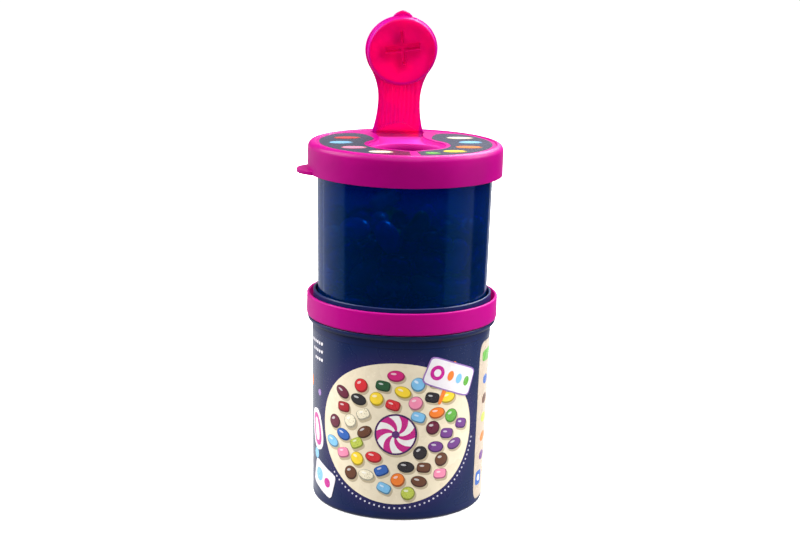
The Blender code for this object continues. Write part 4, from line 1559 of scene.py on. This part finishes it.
def bean_form(sizes):
    """Points and faces of one bean along X, bent and dented on one side."""
    points = []
    faces = []
    for i in range(BEAN_RINGS + 1):
        turn = math.pi * i / BEAN_RINGS
        along = -math.cos(turn)
        girth = (1 - min(1.0, abs(along)) ** BEAN_BLUNTNESS) ** BEAN_FULLNESS
        for j in range(BEAN_SIDES):
            angle = math.tau * j / BEAN_SIDES
            x = along * sizes.bean_length / 2
            y = max(girth, BEAN_TIP) * sizes.bean_width / 2 * math.cos(angle)
            z = max(girth, BEAN_TIP) * sizes.bean_thickness / 2 * math.sin(angle)
            if z < 0:
                z *= 1 - BEAN_DENT * math.exp(-(x / BEAN_DENT_LENGTH) ** 2)
            points.append((x, y, z - BEAN_BEND * x * x + BEAN_LIFT))
    for i in range(BEAN_RINGS):
        for j in range(BEAN_SIDES):
            k = (j + 1) % BEAN_SIDES
            low, high = i * BEAN_SIDES, (i + 1) * BEAN_SIDES
            faces.append((low + j, low + k, high + k, high + j))
    faces.append(tuple(reversed(range(BEAN_SIDES))))
    faces.append(tuple(range(BEAN_RINGS * BEAN_SIDES, (BEAN_RINGS + 1) * BEAN_SIDES)))
    return np.array(points), faces


class DISPENSER_OT_jelly_beans(PieceOperator, bpy.types.Operator):
    """Drop the jelly beans into the upper cup and mesh them"""

    bl_idname = "dispenser.jelly_beans"
    bl_label = "Jelly beans"

    def build(self, sizes, _colours):
        rng = np.random.RandomState(sizes.bean_seed)
        ends = settled_beans(sizes, rng)
        form, form_faces = bean_form(sizes)
        names = sorted(SWEET_COLOURS)
        points, faces, tints = [], [], []
        for low, high in ends:
            heading = Vector(high - low).normalized()
            turn = heading.to_track_quat("X", "Z").to_matrix() @ Matrix.Rotation(
                rng.uniform(0, math.tau), 3, "X")
            scale = 1 - BEAN_SIZE_SPREAD * rng.uniform(0, 1, 3)
            placed = (form * scale) @ np.array(turn).T + (low + high) / 2
            faces += [tuple(index + len(points) for index in face) for face in form_faces]
            points += [tuple(point) for point in placed]
            name = names[rng.randint(len(names))]
            speckle = 1.0 if name in SPECKLED else 0.0
            tints += [(*SWEET_COLOURS[name], speckle)] * len(form)
        mesh = tinted_mesh("jelly_bean_heap", points, faces, tints)
        mesh.materials.append(self.material("sugar_shell", bean_finish))
        mesh.shade_smooth()
        obj = link("jelly_bean_heap", mesh)
        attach(obj, "jar")
        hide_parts("jelly_beans")


class DISPENSER_OT_print(PieceOperator, bpy.types.Operator):
    """Lay the printed shapes on the lower cup and on the lid"""

    bl_idname = "dispenser.print"
    bl_label = "Printed labels"

    def build(self, sizes, colours):
        ink = self.material("gloss_ink", ink_finish)
        rng = np.random.RandomState(PRINT_SEED)
        print_front(sizes, colours, rng).piece("label_front_print", ink, "navy_plastic")
        print_side(sizes, colours).piece("label_side_print", ink, "navy_plastic")
        back = print_disc(sizes, colours, rng, 0.0, BACK_HALF_U, BACK_TURN, BACK_SWEETS)
        back.piece("label_back_print", ink, "navy_plastic")
        print_lid(sizes, colours, rng).piece("lid_label_print", ink, "magenta_plastic")


class DISPENSER_OT_stage(bpy.types.Operator):
    """Set the pale floor, the softboxes and the camera"""

    bl_idname = "dispenser.stage"
    bl_label = "Stage"

    def execute(self, context):
        context.scene.view_settings.view_transform = "Standard"
        self.add_floor()
        self.add_world(context)
        for row in STUDIO_LIGHTS:
            self.add_light(*row)
        self.add_table_bounce()
        self.add_camera(context)
        return {"FINISHED"}

    def add_camera(self, context):
        """The camera, which turns with the label's side."""
        data = bpy.data.cameras.new("camera")
        data.lens = CAMERA_LENS
        data.sensor_width = CAMERA_SENSOR
        data.clip_start = CAMERA_NEAR
        camera = link("camera", data)
        turn = Matrix.Rotation(LABEL_TURN, 4, "Z")
        place = turn @ Vector(CAMERA_PLACE)
        camera.matrix_world = (Matrix.Translation(place) @ turn @
                               Matrix.Rotation(math.radians(90 - CAMERA_DOWN_DEG), 4, "X") @
                               Matrix.Rotation(math.radians(CAMERA_ROLL_DEG), 4, "Z"))
        context.scene.camera = camera

    def add_floor(self):
        """A pale round floor, which neither mirrors in the jar nor lights it, with a painted shadow: its
        glow is dimmer round the jar.
        """
        bm = bmesh.new()
        ring = [bm.verts.new((x, y, 0.0)) for x, y in circle()(FLOOR_RADIUS)]
        bm.faces.new(ring)
        mesh = bpy.data.meshes.new("floor")
        bm.to_mesh(mesh)
        bm.free()
        finish = Finish("floor_white")
        away = finish.add("ShaderNodeVectorMath", {"operation": "LENGTH"}, {0: finish.place}, "Value")
        paper = finish.noise(FLOOR_PAPER_SCALE)
        # Painted shadow: the glow is dimmer near the jar's foot.
        finish.surface(Base_Color=finish.blend(paper, *FLOOR_GREYS),
                       Roughness=0.6, Specular_IOR_Level=0.0,
                       Emission_Color=finish.blend(away.rise(*FLOOR_SHADOW_FADE_R), *FLOOR_GLOWS_SHADOW_TO_WHITE),
                       Emission_Strength=1.0)
        mesh.materials.append(finish.material)
        floor = link("floor", mesh)
        floor.visible_glossy = False
        floor.visible_transmission = False
        floor.visible_diffuse = False

    def add_world(self, context):
        """A dim room round the jar, which the camera sees as white."""
        world = bpy.data.worlds.new("studio")
        context.scene.world = world
        world.use_nodes = True
        nodes, links = world.node_tree.nodes, world.node_tree.links
        seen = nodes.new("ShaderNodeLightPath")
        room = nodes["Background"]
        room.inputs["Color"].default_value = (*ROOM_COLOUR, 1.0)
        paper = nodes.new("ShaderNodeBackground")
        paper.inputs["Color"].default_value = (1.0, 1.0, 1.0, 1.0)
        mix = nodes.new("ShaderNodeMixShader")
        links.new(seen.outputs["Is Camera Ray"], mix.inputs[0])
        links.new(room.outputs[0], mix.inputs[1])
        links.new(paper.outputs[0], mix.inputs[2])
        links.new(mix.outputs[0], nodes["World Output"].inputs["Surface"])

    def add_table_bounce(self):
        """Light that the table round the jar throws back up."""
        data = bpy.data.lights.new("table_bounce", "AREA")
        data.shape = "DISK"
        data.size = BOUNCE_DIAMETER
        data.energy = BOUNCE_POWER
        light = link("table_bounce", data)
        light.location = (0.0, 0.0, BOUNCE_HEIGHT)
        light.rotation_euler = (math.pi, 0.0, 0.0)
        light.visible_camera = False

    def add_light(self, name, azimuth, elevation, away, width, height, power):
        """An area light that faces the jar; azimuth 0 is the camera's side, positive to its right."""
        data = bpy.data.lights.new(name, "AREA")
        data.shape = "RECTANGLE"
        data.size = width
        data.size_y = height
        data.energy = power
        light = link(name, data)
        bearing = math.radians(azimuth) + LABEL_TURN
        rise = math.radians(elevation)
        target = Vector((0.0, 0.0, LIT_HEIGHT))
        outward = Vector((math.sin(bearing) * math.cos(rise), -math.cos(bearing) * math.cos(rise),
                          math.sin(rise)))
        light.location = target + outward * away
        light.rotation_euler = outward.to_track_quat("Z", "Y").to_euler()
        light.visible_camera = False


class DISPENSER_PT_panel(bpy.types.Panel):
    """Lists the operators, the sizes and the colours"""

    bl_idname = "DISPENSER_PT_panel"
    bl_label = "Sweet dispenser"
    bl_space_type = "VIEW_3D"
    bl_region_type = "UI"
    bl_category = "Dispenser"

    def draw(self, context):
        layout = self.layout
        for operator in PIECES:
            layout.operator(operator.bl_idname)
        for group in (context.scene.dispenser_sizes, context.scene.dispenser_colours):
            box = layout.box()
            for name in group.bl_rna.properties.keys():
                if name not in ("rna_type", "name"):
                    box.prop(group, name)


PIECES = (DISPENSER_OT_lower_cup, DISPENSER_OT_collar_band, DISPENSER_OT_upper_cup,
          DISPENSER_OT_lid, DISPENSER_OT_flip_tab, DISPENSER_OT_jelly_beans,
          DISPENSER_OT_print, DISPENSER_OT_stage)
CLASSES = (DispenserSizes, DispenserColours, *PIECES, DISPENSER_PT_panel)


def register():
    for item in CLASSES:
        bpy.utils.register_class(item)
    bpy.types.Scene.dispenser_sizes = PointerProperty(type=DispenserSizes)
    bpy.types.Scene.dispenser_colours = PointerProperty(type=DispenserColours)


def unregister():
    del bpy.types.Scene.dispenser_colours
    del bpy.types.Scene.dispenser_sizes
    for item in reversed(CLASSES):
        bpy.utils.unregister_class(item)


def main():
    register()
    bpy.ops.dispenser.lower_cup()
    bpy.ops.dispenser.collar_band()
    bpy.ops.dispenser.upper_cup()
    bpy.ops.dispenser.lid()
    bpy.ops.dispenser.flip_tab()
    bpy.ops.dispenser.jelly_beans()
    bpy.ops.dispenser.print()
    bpy.ops.dispenser.stage()


if __name__ == "__main__":
    main()
